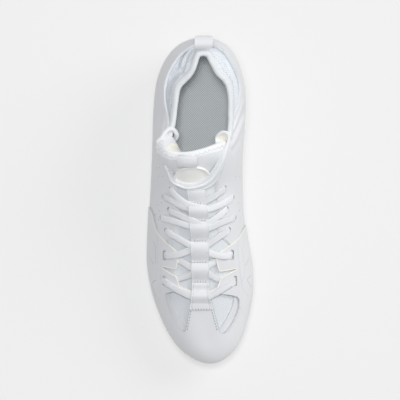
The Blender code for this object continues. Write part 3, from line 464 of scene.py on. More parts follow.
# The tongue's lateral corner flares over the collar: how far out along the normal, and on.
WING_LIFT = 9.0
WING_SHIFT = (2.0, 6.0, 0.0)
WING_START = (0.5, 0.35)
# Back edge of that wing, the edge of its lining inside the shoe, the fold that its hem runs
# on into, and the small fold of the hem at the medial end.
WING_BACK = ((-38.2, 50.6, 101.5), (-33.3, 54.3, 102.0), (-28.0, 56.5, 101.0), (-23.9, 55.6, 99.0))
WING_DROP = ((-16.8, 41.4, 95.0), (-15.6, 38.4, 89.0), (-14.0, 34.6, 82.0))
WING_PLEAT = ((-38.4, 50.8, 101.0), (-34.2, 54.6, 102.4), (-31.0, 59.4, 102.8), (-26.6, 63.0, 102.0),
              (-22.2, 61.0, 99.4), (-20.6, 56.8, 95.6), (-22.6, 53.2, 91.6), (-25.6, 51.2, 87.0))
MEDIAL_PLEAT = ((17.0, 45.5, 102.0), (15.6, 49.6, 99.2), (15.0, 53.8, 97.2), (16.4, 57.4, 98.6),
                (20.2, 60.0, 100.6), (24.6, 58.8, 101.4), (26.4, 54.8, 99.6))
PLEAT_HEART = (20.8, 53.0, 95.0)
PLEAT_ROWS = (0, 0.3, 0.6, 0.97)
PLEAT_FACING = (0.3, -0.5, 0.8)
PLEAT_GAIN = 1.0
WING_SINK = 1.6
WING_COLUMNS = 16
WING_HEM_SHARE = 0.3
# Hem of the tongue: its cord, the band under it and the zigzag on that.
HEM_CORD = 4.2
HEM_SINK = 1.4
TONGUE_HEM_ROWS = 8
HEM_BAND_LIFT = 0.5
HEM_BAND_WALL = 0.6
ZIGZAG_STEP = 2.2
ZIGZAG_SLANT = 1.3

# The cord round the throat runs on from the medial pleat; it lies on a knitted band that
# fills from the rim in to a soft fold beside the patch.
THROAT_CORD = ((25.2, 50.8), (23.6, 46.0), (20.6, 36.2), (17.0, 28.0), (12.4, 20.6), (4.0, 13.4),
               (-9.4, 10.0), (-20.4, 13.2), (-25.8, 17.8), (-29.4, 26.8), (-31.4, 31.6))
THROAT_FOLD = ((24.0, 50.5), (21.8, 44.0), (18.6, 35.0), (14.6, 27.6), (6.3, 18.0), (-6.0, 12.3),
               (-19.6, 13.9), (-24.2, 17.9), (-28.2, 26.6), (-30.4, 31.6))
THROAT_RIM = ((27.6, 51.0), (27.0, 46.0), (25.8, 40.0), (23.3, 32.5), (19.5, 25.8), (14.6, 18.8), (8.7, 12.5),
              (-1.0, 9.0), (-10.0, 8.6), (-18.0, 10.5), (-25.5, 15.6), (-31.0, 24.0), (-33.0, 29.0))
CORD_DEPTH = 0.3
CORD_WIDTH = 2.7
FOLD_DEPTH = -1.7
FOLD_WIDTH = 1.8
FOLD_SINK = 0.5
BAND_DEPTH = -1.3
BAND_PUFF = 0.9
BAND_WALL = 1.2

PATCH_CENTRE = (-7.4, 18.6)
PATCH_HALF = (17.2, 8.4)
PATCH_TURN = 4.0
# Rings of the patch from its edge in: share of its half sizes, and height over the tongue.
PATCH_RINGS = (
    Ring(1.0, 0.3), Ring(1.02, 1.0), Ring(1.0, 1.9), Ring(0.95, 2.3), Ring(0.89, 2.1), Ring(0.86, 1.4),
    Ring(0.84, 1.15), Ring(0.6, 1.2), Ring(0.3, 1.25), Ring(0.02, 1.25),
)


# The last

def smooth_table(x, places, values):
    """Smooth curve through the rows of a short table."""
    places = np.asarray(places, dtype=float)
    values = np.asarray(values, dtype=float)
    if places[0] > places[-1]:
        places = places[::-1]
        values = values[::-1]
    slopes = np.gradient(values, places)
    x = np.clip(x, places[0], places[-1])
    low = np.clip(np.searchsorted(places, x) - 1, 0, len(places) - 2)
    span = places[low + 1] - places[low]
    return hermite((x - places[low]) / span, values[low], values[low + 1],
                   span * slopes[low], span * slopes[low + 1])


def look_up(x, table, key, column):
    """Smooth curve through one column of a table over another."""
    return smooth_table(x, [getattr(row, key) for row in table], [getattr(row, column) for row in table])


def hermite(t, start, end, start_slope, end_slope):
    """Cubic between two values with given slopes."""
    return ((2 * t ** 3 - 3 * t ** 2 + 1) * start + (t ** 3 - 2 * t ** 2 + t) * start_slope
            + (3 * t ** 2 - 2 * t ** 3) * end + (t ** 3 - t ** 2) * end_slope)


def ring_rows():
    """Rib rows round the whole shoe: lateral ones down to the toe, medial ones back."""
    rows = []
    edges = []
    for index in range(RING):
        lateral = index <= TOE_RIB
        rib = RIBS[index if lateral else RING - index]
        rows.append(((rib.lat_x if lateral else rib.med_x) * BALL_WIDTH,
                     (rib.lat_y if lateral else rib.med_y) * LENGTH,
                     rib.spine_x * BALL_WIDTH, rib.spine_y * LENGTH,
                     rib.tuck_lat if lateral else rib.tuck_med, rib.widest, rib.ridge, rib.square))
        edges.append(rib.edge_lat if lateral else rib.edge_med)
    return np.array(rows), np.array(edges)


def ring_spline(values):
    """Second derivatives of the closed cubic spline through evenly spaced values."""
    count = len(values)
    system = 4 * np.eye(count) + np.roll(np.eye(count), 1, axis=1) + np.roll(np.eye(count), -1, axis=1)
    bend = 6 * (np.roll(values, -1, axis=0) - 2 * values + np.roll(values, 1, axis=0))
    return np.linalg.solve(system, bend)


ROWS, EDGES = ring_rows()
BENDS = ring_spline(ROWS)
RibShape = namedtuple("RibShape", "outline spine tuck widest ridge square")


def ring_place(position):
    """Rows on either side of a position round the ring, and the share of the way between."""
    place = np.asarray(position, dtype=float) % RING
    low = np.floor(place).astype(int) % RING
    return low, (low + 1) % RING, place - np.floor(place)


def rib_at(position):
    """Smooth rib shape at positions round the ring."""
    low, high, share = ring_place(position)
    share = share[..., None]
    rest = 1 - share
    values = (rest * ROWS[low] + share * ROWS[high]
              + ((rest ** 3 - rest) * BENDS[low] + (share ** 3 - share) * BENDS[high]) / 6)
    outline, spine, tuck, widest, ridge, square = np.split(values, (2, 4, 5, 6, 7), axis=-1)
    return RibShape(outline, spine, tuck[..., 0], widest[..., 0], ridge[..., 0], square[..., 0])


def sole_height(y, column):
    """Height of a line of the sole's profile."""
    return smooth_table(y, [row.y * LENGTH for row in PROFILE], [getattr(row, column) for row in PROFILE])


def outline_normal(position):
    """Outward direction of the outline in plan."""
    along = rib_at(position + FINE_STEP).outline - rib_at(position - FINE_STEP).outline
    along /= np.linalg.norm(along, axis=-1, keepdims=True)
    return np.stack([along[..., 1], -along[..., 0]], axis=-1)


def join_height(plan, height):
    """Plan points with heights as their third column."""
    return np.concatenate([plan, height[..., None]], axis=-1)


def wall_point(position, rise, outset=0.0):
    """Lower wall: rise 0 is the feather edge, 1 the widest line."""
    rib = rib_at(position)
    inset = rib.tuck * (1 - rise) ** 2 - outset
    plan = rib.outline - outline_normal(position) * inset[..., None]
    feather = sole_height(rib.outline[..., 1], "feather")
    return join_height(plan, feather + (rib.widest - feather) * rise)


def dome_point(position, share):
    """Upper wall: plan share 1 is the widest line, 0 the spine."""
    rib = rib_at(position)
    share = np.broadcast_to(share, rib.square.shape)
    plan = rib.spine + (rib.outline - rib.spine) * share[..., None]
    climb = (1 - share ** rib.square) ** (1 / rib.square)
    return join_height(plan, rib.widest + (rib.ridge - rib.widest) * climb)


def shell_edge(position):
    """Plan share at which the shell stops, 0 where it closes over the spine."""
    low, high, share = ring_place(position)
    after = np.roll(EDGES, -1) - EDGES
    before = np.roll(after, 1)
    even = after * before > 0
    slope = np.where(even, 2 * after * before / np.where(even, after + before, 1), 0)
    return hermite(share, EDGES[low], EDGES[high], slope[low], slope[high])


def rib_sheet(position, edge, wall_rows, dome_rows):
    """Points of each rib from the feather edge up to a plan share."""
    columns = [wall_point(position, rise) for rise in np.linspace(0, 1, wall_rows, endpoint=False)]
    square = rib_at(position).square
    top = np.arccos(edge ** (square / 2))
    for turn in np.linspace(0, 1, dome_rows):
        columns.append(dome_point(position, np.cos(top * turn) ** (2 / square)))
    return np.stack(columns, axis=1)


def ease(value, start, end):
    """Smooth step from 0 to 1."""
    share = np.clip((value - start) / (end - start), 0, 1)
    return share * share * (3 - 2 * share)


def unit(vectors):
    """Vectors scaled to length 1."""
    return vectors / np.maximum(np.linalg.norm(vectors, axis=-1, keepdims=True), TINY)


def outward(points):
    """Normals of a rib sheet: rows round the ring, columns upwards."""
    return unit(np.cross(np.gradient(points, axis=0), np.gradient(points, axis=1)))


def upward(points):
    """Normals of a throat sheet: rows towards the heel, columns towards the medial side."""
    return unit(np.cross(np.gradient(points, axis=1), np.gradient(points, axis=0)))


DOWN = Vector((0, 0, -1))
UP = Vector((0, 0, 1))
# Rays down to the last start at HIGH; places off the last take the point nearest to LOW_SIDE.
HIGH = 500
LOW_SIDE = 40
# The toe ribs meet in a slight ridge along the spine, which is rounded off over these sizes.
RIDGE_START = (2.0, -78.0)
RIDGE_END = (6.6, -116.0)
RIDGE_NEAR = 2.0
RIDGE_FAR = 20.0
# The rounded heights come from a blurred map of the toe, one cell to the millimetre.
MAP_X = np.arange(-45.0, 55.0)
MAP_Y = np.arange(-150.0, -50.0)
MAP_BLUR = 5
# Just short of the map's last row and column, so that each place has a next one.
MAP_END = (len(MAP_X) - 1.001, len(MAP_Y) - 1.001)


def sheet_faces(points):
    """Quad corners of a grid of points."""
    rows, columns = points.shape[:2]
    index = np.arange(rows * columns).reshape(rows, columns)
    faces = np.stack([index[:-1, :-1], index[1:, :-1], index[1:, 1:], index[:-1, 1:]], axis=-1)
    return faces.reshape(-1, 4)


def sheet_tree(points):
    """Search tree for rays that meet a grid of points."""
    corners = [tuple(point) for point in points.reshape(-1, 3)]
    return BVHTree.FromPolygons(corners, [tuple(face) for face in sheet_faces(points).tolist()])


def blurred_heights(tree):
    """Height map of the toe, blurred; places off the last don't count."""
    heights = np.zeros((len(MAP_Y), len(MAP_X)))
    known = np.zeros_like(heights)
    for row, y in enumerate(MAP_Y):
        for column, x in enumerate(MAP_X):
            hit = tree.ray_cast(Vector((x, y, HIGH)), DOWN)[0]
            if hit is not None:
                heights[row, column] = hit.z
                known[row, column] = 1
    kernel = np.exp(-(np.arange(-3 * MAP_BLUR, 3 * MAP_BLUR + 1) / MAP_BLUR) ** 2 / 2)
    for axis in (0, 1):
        heights = np.apply_along_axis(np.convolve, axis, heights, kernel, "same")
        known = np.apply_along_axis(np.convolve, axis, known, kernel, "same")
    return heights / np.maximum(known, TINY)


def soften_ridge(points, heights):
    """Draw the heights round the toe ridge to the blurred map."""
    start = np.array(RIDGE_START)
    axis = np.array(RIDGE_END) - start
    plan = points[..., :2]
    share = np.clip((plan - start) @ axis / (axis @ axis), 0, 1)
    apart = np.linalg.norm(plan - start - share[..., None] * axis, axis=-1)
    weight = 1 - ease(apart, RIDGE_NEAR, RIDGE_FAR)
    place = np.clip(plan - (MAP_X[0], MAP_Y[0]), 0, MAP_END)
    column, row = np.moveaxis(np.floor(place).astype(int), -1, 0)
    right, down = np.moveaxis(place - np.floor(place), -1, 0)
    near = heights[row, column] * (1 - right) + heights[row, column + 1] * right
    far = heights[row + 1, column] * (1 - right) + heights[row + 1, column + 1] * right
    softened = points.copy()
    softened[..., 2] += (near + (far - near) * down - points[..., 2]) * weight
    return softened


def last_sheet(steps, wall_rows, dome_rows):
    """The whole last, closed over the spine."""
    position = np.arange(RING * steps + 1) / steps
    return rib_sheet(position, np.zeros(len(position)), wall_rows, dome_rows)


RIDGED_SHEET = last_sheet(steps=12, wall_rows=8, dome_rows=60)
TOE_HEIGHTS = blurred_heights(sheet_tree(RIDGED_SHEET))
LAST_SHEET = soften_ridge(RIDGED_SHEET, TOE_HEIGHTS)
LAST_TREE = sheet_tree(LAST_SHEET)
LAST_POINTS = LAST_SHEET.reshape(-1, 3)
LAST_NORMALS = outward(LAST_SHEET).reshape(-1, 3)
LAST_FACES = sheet_faces(LAST_SHEET)
# Keeps the weight of a corner finite where a place falls on it.
CORNER_GUARD = 0.01


def on_last(plan, lift=0.0):
    """Places over plan points, lifted along the last's normal, and those normals."""
    plan = np.asarray(plan, dtype=float)
    lift = np.broadcast_to(lift, len(plan))
    places = []
    normals = []
    for x, y in plan:
        hit, _, face, _ = LAST_TREE.ray_cast(Vector((x, y, HIGH)), DOWN)
        if hit is None:
            hit, _, face, _ = LAST_TREE.find_nearest(Vector((x, y, LOW_SIDE)))
        corners = LAST_FACES[face]
        near = 1 / (np.sum((LAST_POINTS[corners] - np.array(hit)) ** 2, axis=1) + CORNER_GUARD)
        places.append(hit)
        normals.append(near @ LAST_NORMALS[corners])
    normals = unit(np.array(normals))
    return np.array(places) + normals * lift[:, None], normals


# Highest place that counts as side wall, and the most points that a line runs down it.
WALL_TOP = 46
WALL_STEPS = 26


def over_the_side(plan, lift):
    """Places along a plan line on the last; ends that leave its outline run on down the wall."""
    inside = [LAST_TREE.ray_cast(Vector((x, y, HIGH)), DOWN)[0] is not None for x, y in plan]
    first = inside.index(True)
    last = len(inside) - 1 - inside[::-1].index(True)
    places, normals = on_last(plan[first:last + 1], lift)
    for step in (1, -1):
        wall = []
        for x, y in plan[first:last + 1][::step][:WALL_STEPS]:
            hit, _, face, _ = LAST_TREE.ray_cast(Vector((x, y, 0)), UP)
            if hit is None or hit.z > WALL_TOP:
                break
            normal = unit(LAST_NORMALS[LAST_FACES[face]].sum(axis=0))
            wall.append((np.array(hit) + normal * lift, normal))
        if wall and len(wall) < WALL_STEPS:
            low, out = [np.array(column) for column in zip(*wall)]
            if step == 1:
                places, normals = np.vstack([low[::-1], places]), np.vstack([out[::-1], normals])
            else:
                places, normals = np.vstack([places, low]), np.vstack([normals, out])
    return places, normals


def signed_dome(rib, across):
    """Dome points where a negative plan share lies on the lateral side."""
    position = np.where(across <= 0, rib, RING - rib)
    return dome_point(position, np.abs(across))


def throat_sheet(foot_rib, foot_reach, top_reach, top_edges, rows, columns, narrowing=0.5):
    """Points on the last between a foot rib and a curved top edge, foot row first."""
    along = np.linspace(0, 1, rows)[:, None]
    side = np.linspace(-1, 1, columns)[None, :]
    foot = np.where(side < 0, foot_reach[0], foot_reach[1])
    top = np.where(side < 0, top_reach[0], top_reach[1])
    across = side * (foot + (top - foot) * along ** narrowing)
    rib = foot_rib + (look_up(across, top_edges, "across", "rib") - foot_rib) * along
    return signed_dome(rib, across)


# Steps from one point of a curve to the next.
CURVE_STEPS = 6


def curve_through(points, steps=CURVE_STEPS):
    """Catmull-Rom curve through a short list of points."""
    points = np.asarray(points, dtype=float)
    padded = np.vstack([2 * points[0] - points[1], points, 2 * points[-1] - points[-2]])
    t = (np.arange(steps) / steps)[:, None]
    pieces = []
    for a, b, c, d in zip(padded, padded[1:], padded[2:], padded[3:]):
        pieces.append(0.5 * (2 * b + (c - a) * t + (2 * a - 5 * b + 4 * c - d) * t ** 2
                             + (3 * b - a - 3 * c + d) * t ** 3))
    return np.vstack(pieces + [points[-1:]])


def run_length(points, axis):
    """Distance run along one axis of a grid of points."""
    steps = np.linalg.norm(np.diff(points, axis=axis), axis=-1)
    start = np.zeros_like(np.take(steps, [0], axis=axis))
    return np.cumsum(np.concatenate([start, steps], axis=axis), axis=axis)


def smooth_line(line, width):
    """Running average along a line, with its ends kept."""
    kernel = np.hanning(width + 2)[1:-1]
    kernel /= kernel.sum()
    reach = width // 2
    padded = np.vstack([np.repeat(line[:1], reach, axis=0), line, np.repeat(line[-1:], reach, axis=0)])
    return np.stack([np.convolve(padded[:, axis], kernel, "valid") for axis in range(3)], axis=1)


def even_path(path, spacing):
    """The same path with points about a spacing apart."""
    return resample(path, max(2, round(run_length(path, 0)[-1] / spacing) + 1))


def resample(path, count):
    """The same path with a number of points an even distance apart."""
    run = run_length(path, 0)
    even = np.linspace(0, run[-1], count)
    return np.stack([np.interp(even, run, path[:, axis]) for axis in range(path.shape[1])], axis=1)


# Modelling

# Points closer than this are one, and cutting blocks reach up to this height.
WELD = 0.02
CUT_TOP = 150


def select_only(piece):
    """Make one piece the selected and active one."""
    bpy.ops.object.select_all(action="DESELECT")
    piece.select_set(True)
    bpy.context.view_layer.objects.active = piece


def primitive(add, **settings):
    """Add a primitive with nothing else selected."""
    bpy.ops.object.select_all(action="DESELECT")
    add(**settings)
    return bpy.context.object


def grid_piece(name, points):
    """Lay a grid primitive on points given row by row; its UV map counts millimetres."""
    rows, columns = points.shape[:2]
    piece = primitive(bpy.ops.mesh.primitive_grid_add, x_subdivisions=columns - 1, y_subdivisions=rows - 1)
    piece.name = name
    mesh = piece.data
    mesh.name = name
    mesh.vertices.foreach_set("co", ((points.reshape(-1, 3) + SHIFT) * MM).ravel())
    corners = np.empty(len(mesh.loops), dtype=np.int32)
    mesh.loops.foreach_get("vertex_index", corners)
    flat = np.stack([run_length(points, 1).ravel(), run_length(points, 0).ravel()], axis=1)
    mesh.uv_layers.active.data.foreach_set("uv", flat[corners].ravel())
    mesh.update()
    return piece


def edit(piece, *steps):
    """Run mesh operators on all of a piece."""
    select_only(piece)
    bpy.ops.object.mode_set(mode="EDIT")
    bpy.ops.mesh.select_all(action="SELECT")
    for operator, settings in steps:
        operator(**settings)
    bpy.ops.object.mode_set(mode="OBJECT")


def weld(piece):
    """Join points that lie on each other."""
    edit(piece, (bpy.ops.mesh.remove_doubles, {"threshold": WELD * MM}))


def close(piece):
    """Fill what is open and turn the faces outwards."""
    edit(piece, (bpy.ops.mesh.remove_doubles, {"threshold": WELD * MM}),
         (bpy.ops.mesh.fill_holes, {"sides": 0}),
         (bpy.ops.mesh.normals_make_consistent, {"inside": False}))


def modify(piece, kind, **settings):
    """Add a modifier, set it and apply it."""
    select_only(piece)
    modifier = piece.modifiers.new(kind.lower(), kind)
    for field, value in settings.items():
        setattr(modifier, field, value)
    bpy.ops.object.modifier_apply(modifier=modifier.name)


def thicken(piece, wall):
    """Give a sheet a wall behind its face."""
    modify(piece, "SOLIDIFY", thickness=wall * MM, offset=-1)


def sheet_piece(name, points, wall):
    """A sheet of even thickness with its face on the points."""
    piece = grid_piece(name, points)
    thicken(piece, wall)
    return piece


def round_off(piece, levels):
    """Subdivide a piece smoothly."""
    modify(piece, "SUBSURF", levels=levels, render_levels=levels)


def outline_of(strokes):
    """Points round a plan outline, with each stroke a smooth curve."""
    points = []
    for stroke in strokes:
        steps = CURVE_STEPS if len(stroke) > 2 else 1
        points.extend(curve_through(stroke, steps)[:-1])
    return np.array(points)


def plan_block(outline, material, low=0):
    """Upright block over a plan outline, used to cut."""
    block = primitive(bpy.ops.mesh.primitive_circle_add, vertices=len(outline), fill_type="NGON")
    places = join_height(outline, np.full(len(outline), low))
    block.data.vertices.foreach_set("co", ((places + SHIFT) * MM).ravel())
    rise = {"TRANSFORM_OT_translate": {"value": (0, 0, (CUT_TOP - low) * MM)}}
    edit(block, (bpy.ops.mesh.extrude_region_move, rise),
         (bpy.ops.mesh.normals_make_consistent, {"inside": False}))
    block.data.materials.append(material)
    return block


def hole_cutter(plan, radius, depth, sides, material):
    """Round cutter square to the last."""
    places, normals = on_last([plan])
    cutter = primitive(bpy.ops.mesh.primitive_cylinder_add, vertices=sides, radius=radius * MM,
                       depth=depth * MM)
    turn = Vector(normals[0]).to_track_quat("Z", "Y").to_matrix().to_4x4()
    cutter.data.transform(Matrix.Translation(Vector((places[0] + SHIFT) * MM)) @ turn)
    cutter.data.materials.append(material)
    return cutter


def joined(pieces):
    """Join pieces into the first one."""
    bpy.ops.object.select_all(action="DESELECT")
    for piece in pieces:
        piece.select_set(True)
    bpy.context.view_layer.objects.active = pieces[0]
    if len(pieces) > 1:
        bpy.ops.object.join()
    return pieces[0]


def cut(piece, cutters, operation="DIFFERENCE"):
    """Cut with all the cutters at once, or add them; new faces take the cutters' material."""
    cutter = joined(cutters)
    modify(piece, "BOOLEAN", object=cutter, operation=operation, solver="EXACT",
           material_mode="TRANSFER")
    bpy.data.objects.remove(cutter, do_unlink=True)


def sweep(name, path, ups, width, height, power=2.0, sides=12, closed=False):
    """Carry an oval section along a path; ups are the directions of its flat face."""
    path = np.asarray(path, dtype=float)
    count = len(path)
    width = np.broadcast_to(width, count)
    height = np.broadcast_to(height, count)
    if closed:
        ahead = np.roll(path, -1, axis=0) - np.roll(path, 1, axis=0)
    else:
        ahead = np.gradient(path, axis=0)
    across = unit(np.cross(ahead, ups))
    up = unit(np.cross(across, ahead))
    angle = np.linspace(0, 2 * math.pi, sides + 1)
    flat = np.sign(np.cos(angle)) * np.abs(np.cos(angle)) ** (2 / power)
    tall = np.sign(np.sin(angle)) * np.abs(np.sin(angle)) ** (2 / power)
    points = (path[:, None] + across[:, None] * (flat[None, :] * width[:, None] / 2)[..., None]
              + up[:, None] * (tall[None, :] * height[:, None] / 2)[..., None])
    if closed:
        points = np.concatenate([points, points[:1]], axis=0)
    piece = grid_piece(name, points)
    close(piece)
    return piece


def stitches(name, rows, stitch):
    """Many short stitches as one mesh; each row is (places, directions, ups)."""
    piece = primitive(bpy.ops.mesh.primitive_uv_sphere_add, segments=6, ring_count=4, radius=0.5)
    piece.name = name
    seed = np.array([v.co for v in piece.data.vertices])
    seed_faces = [list(p.vertices) for p in piece.data.polygons]
    vertices = []
    faces = []
    for places, directions, ups in rows:
        for place, ahead, up in zip(places, directions, ups):
            across = unit(np.cross(up, ahead))
            start = len(vertices)
            turned = (seed[:, :1] * ahead * stitch.length + seed[:, 1:2] * across * stitch.width
                      + seed[:, 2:] * up * stitch.height)
            vertices.extend((turned + place + SHIFT) * MM)
            faces.extend([[start + corner for corner in face] for face in seed_faces])
    old = piece.data
    piece.data = bpy.data.meshes.new(name)
    piece.data.from_pydata([tuple(v) for v in vertices], [], faces)
    bpy.data.meshes.remove(old)
    return piece


def stitch_row(plan_path, spacing, lift, slant=0.0):
    """Places, directions and ups of stitches along a plan path on the last."""
    plan = even_path(np.asarray(plan_path, dtype=float), spacing)
    places, ups = on_last(plan, lift)
    ahead = unit(np.gradient(places, axis=0))
    across = unit(np.cross(ups, ahead))
    return places, unit(ahead + across * slant), ups


def finish(piece, material, nodes=(), angle=40):
    """Shade a piece, give it its finish and tie it to the frame."""
    if not piece.data.materials:
        piece.data.materials.append(material)
    select_only(piece)
    bpy.ops.object.shade_smooth_by_angle(angle=math.radians(angle))
    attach(piece, "root")
    if nodes:
        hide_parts(*nodes)


# Materials

def paint(code):
    """Linear colour of an sRGB hex code."""
    values = [int(code[index:index + 2], 16) / 255 for index in (1, 3, 5)]
    return tuple(v / 12.92 if v <= 0.04045 else ((v + 0.055) / 1.055) ** 2.4 for v in values) + (1,)


def add_node(tree, kind, inputs=None, **settings):
    """Add a node, set its fields, and set or link its inputs."""
    made = tree.nodes.new(kind)
    for field, value in settings.items():
        setattr(made, field, value)
    for socket, value in (inputs or {}).items():
        if isinstance(value, bpy.types.NodeSocket):
            tree.links.new(value, made.inputs[socket])
        else:
            made.inputs[socket].default_value = value
    return made


def new_material(name, roughness, **sockets):
    """A Principled material with its constant sockets set."""
    material = bpy.data.materials.new(name)
    material.use_nodes = True
    shader = material.node_tree.nodes["Principled BSDF"]
    shader.inputs["Roughness"].default_value = roughness
    for socket, value in sockets.items():
        shader.inputs[socket.replace("_", " ")].default_value = value
    return material, material.node_tree, shader


def tint(tree, shader, factor, low, high, low_at=0.0, high_at=1.0):
    """Colour the surface between two hex colours by a factor."""
    ramp = add_node(tree, "ShaderNodeMapRange", {"Value": factor, "From Min": low_at, "From Max": high_at})
    mix = add_node(tree, "ShaderNodeMix", {0: ramp.outputs[0], 6: paint(low), 7: paint(high)},
                   data_type="RGBA")
    tree.links.new(mix.outputs[2], shader.inputs["Base Color"])


def emboss(tree, shader, height, depth, strength=1.0):
    """Bump of a real depth in millimetres."""
    bump = add_node(tree, "ShaderNodeBump", {"Height": height, "Distance": depth * MM, "Strength": strength})
    tree.links.new(bump.outputs[0], shader.inputs["Normal"])


# A wave texture has one band in this length at scale 1.
WAVE_TURN = 2 * math.pi / 20


def shell_leather(name, high, low, roughness):
    """Coated synthetic leather: smooth, softly glossy, with a fine pebble grain of about 0.9 mm."""
    material, tree, shader = new_material(name, roughness, Coat_Weight=0.06, Coat_Roughness=0.4)
    place = add_node(tree, "ShaderNodeTexCoord").outputs["Object"]
    cloud = add_node(tree, "ShaderNodeTexNoise", {"Vector": place, "Scale": 1 / (45 * MM), "Detail": 3.0})
    tint(tree, shader, cloud.outputs[0], low, high, 0.3, 0.7)
    grain = add_node(tree, "ShaderNodeTexVoronoi", {"Vector": place, "Scale": 1 / (0.9 * MM)},
                     feature="SMOOTH_F1")
    emboss(tree, shader, grain.outputs[0], 0.10, 0.35)
    return material


def cut_edge():
    """Raw cut edge of the film overlay: cream foam backing that shows as a thin line."""
    material, tree, shader = new_material("cream_cut_edge", 0.7)
    place = add_node(tree, "ShaderNodeTexCoord").outputs["Object"]
    fleck = add_node(tree, "ShaderNodeTexNoise", {"Vector": place, "Scale": 1 / (1.5 * MM)})
    tint(tree, shader, fleck.outputs[0], "#F5F2E6", "#FDFBF4")
    return material


def open_mesh(name, high, low, pitch, hole, depth):
    """Knitted mesh: rows of small round openings that follow the cloth, darker inside as painted shade."""
    material, tree, shader = new_material(name, 0.85, Sheen_Weight=0.15)
    cloth = add_node(tree, "ShaderNodeUVMap").outputs[0]
    laid = add_node(tree, "ShaderNodeMapping", {"Vector": cloth, "Scale": (1 / pitch, 1 / pitch, 1)})
    cell = add_node(tree, "ShaderNodeTexVoronoi", {"Vector": laid.outputs[0], "Scale": 1.0,
                                                  "Randomness": 0.12}, voronoi_dimensions="2D")
    tint(tree, shader, cell.outputs[0], low, high, hole * 0.35, hole)
    rise = add_node(tree, "ShaderNodeMapRange", {"Value": cell.outputs[0], "From Min": hole * 0.2,
                                                 "From Max": hole * 1.2})
    emboss(tree, shader, rise.outputs[0], depth, 0.8)
    return material


def woven_ribs(name, high, low, pitch, depth, roughness=0.55):
    """Grosgrain webbing: fine ribs across the strip with crossing threads, a little silky."""
    material, tree, shader = new_material(name, roughness, Sheen_Weight=0.2)
    cloth = add_node(tree, "ShaderNodeUVMap").outputs[0]
    ribs = add_node(tree, "ShaderNodeTexWave", {"Vector": cloth, "Scale": WAVE_TURN / pitch},
                    wave_type="BANDS", bands_direction="Y")
    threads = add_node(tree, "ShaderNodeTexWave", {"Vector": cloth, "Scale": WAVE_TURN / (pitch * 0.7)},
                       wave_type="BANDS", bands_direction="X")
    both = add_node(tree, "ShaderNodeMath", {0: ribs.outputs[1], 1: threads.outputs[1]},
                    operation="MULTIPLY")
    thread_share = 0.35
    blend = add_node(tree, "ShaderNodeMix", {0: thread_share, 2: ribs.outputs[1], 3: both.outputs[0]})
    tint(tree, shader, blend.outputs[0], low, high)
    emboss(tree, shader, blend.outputs[0], depth, 0.7)
    return material


def braid(name, high, low, pitch, depth):
    """Flat braided lace: two sets of threads that cross on the slant."""
    material, tree, shader = new_material(name, 0.7, Sheen_Weight=0.2)
    cloth = add_node(tree, "ShaderNodeUVMap").outputs[0]
    slant = 0.6
    sets = []
    for turn in (slant, -slant):
        laid = add_node(tree, "ShaderNodeMapping", {"Vector": cloth, "Rotation": (0, 0, turn)})
        sets.append(add_node(tree, "ShaderNodeTexWave", {"Vector": laid.outputs[0],
                                                        "Scale": WAVE_TURN / pitch},
                             wave_type="BANDS", bands_direction="Y"))
    cross = add_node(tree, "ShaderNodeMath", {0: sets[0].outputs[1], 1: sets[1].outputs[1]},
                     operation="MAXIMUM")
    tint(tree, shader, cross.outputs[0], low, high)
    emboss(tree, shader, cross.outputs[0], depth, 0.6)
    return material


def sockliner_mesh():
    """Grey polyester mesh over foam: light dots on the slant, about 1.5 mm apart."""
    material, tree, shader = new_material("grey_sockliner_mesh", 0.9, Sheen_Weight=0.1)
    place = add_node(tree, "ShaderNodeTexCoord").outputs["Object"]
    laid = add_node(tree, "ShaderNodeMapping", {"Vector": place, "Rotation": (0, 0, math.radians(45)),
                                               "Scale": (1 / (1.5 * MM), 1 / (1.5 * MM), 0)})
    cell = add_node(tree, "ShaderNodeTexVoronoi", {"Vector": laid.outputs[0], "Scale": 1.0,
                                                  "Randomness": 0.05}, voronoi_dimensions="2D")
    tint(tree, shader, cell.outputs[0], "#E8ECEC", "#B3BABC", 0.2, 0.62)
    emboss(tree, shader, cell.outputs[0], -0.4, 0.7)
    return material


def moulded(name, high, low, roughness, texture):
    """Injection-moulded plastic: even satin skin with a faint spark-eroded texture."""
    material, tree, shader = new_material(name, roughness, Coat_Weight=0.05)
    place = add_node(tree, "ShaderNodeTexCoord").outputs["Object"]
    cloud = add_node(tree, "ShaderNodeTexNoise", {"Vector": place, "Scale": 1 / (30 * MM), "Detail": 4.0})
    tint(tree, shader, cloud.outputs[0], low, high, 0.3, 0.7)
    pits = add_node(tree, "ShaderNodeTexNoise", {"Vector": place, "Scale": 1 / (0.6 * MM), "Detail": 1.0})
    emboss(tree, shader, pits.outputs[0], texture, 0.4)
    return material


def thread(name, high, low):
    """Twisted polyester sewing thread, a little shiny; its grey colours are painted shade."""
    material, tree, shader = new_material(name, 0.55, Sheen_Weight=0.2)
    place = add_node(tree, "ShaderNodeTexCoord").outputs["Object"]
    twist = add_node(tree, "ShaderNodeTexNoise", {"Vector": place, "Scale": 1 / (0.8 * MM)})
    tint(tree, shader, twist.outputs[0], low, high, 0.3, 0.7)
    return material


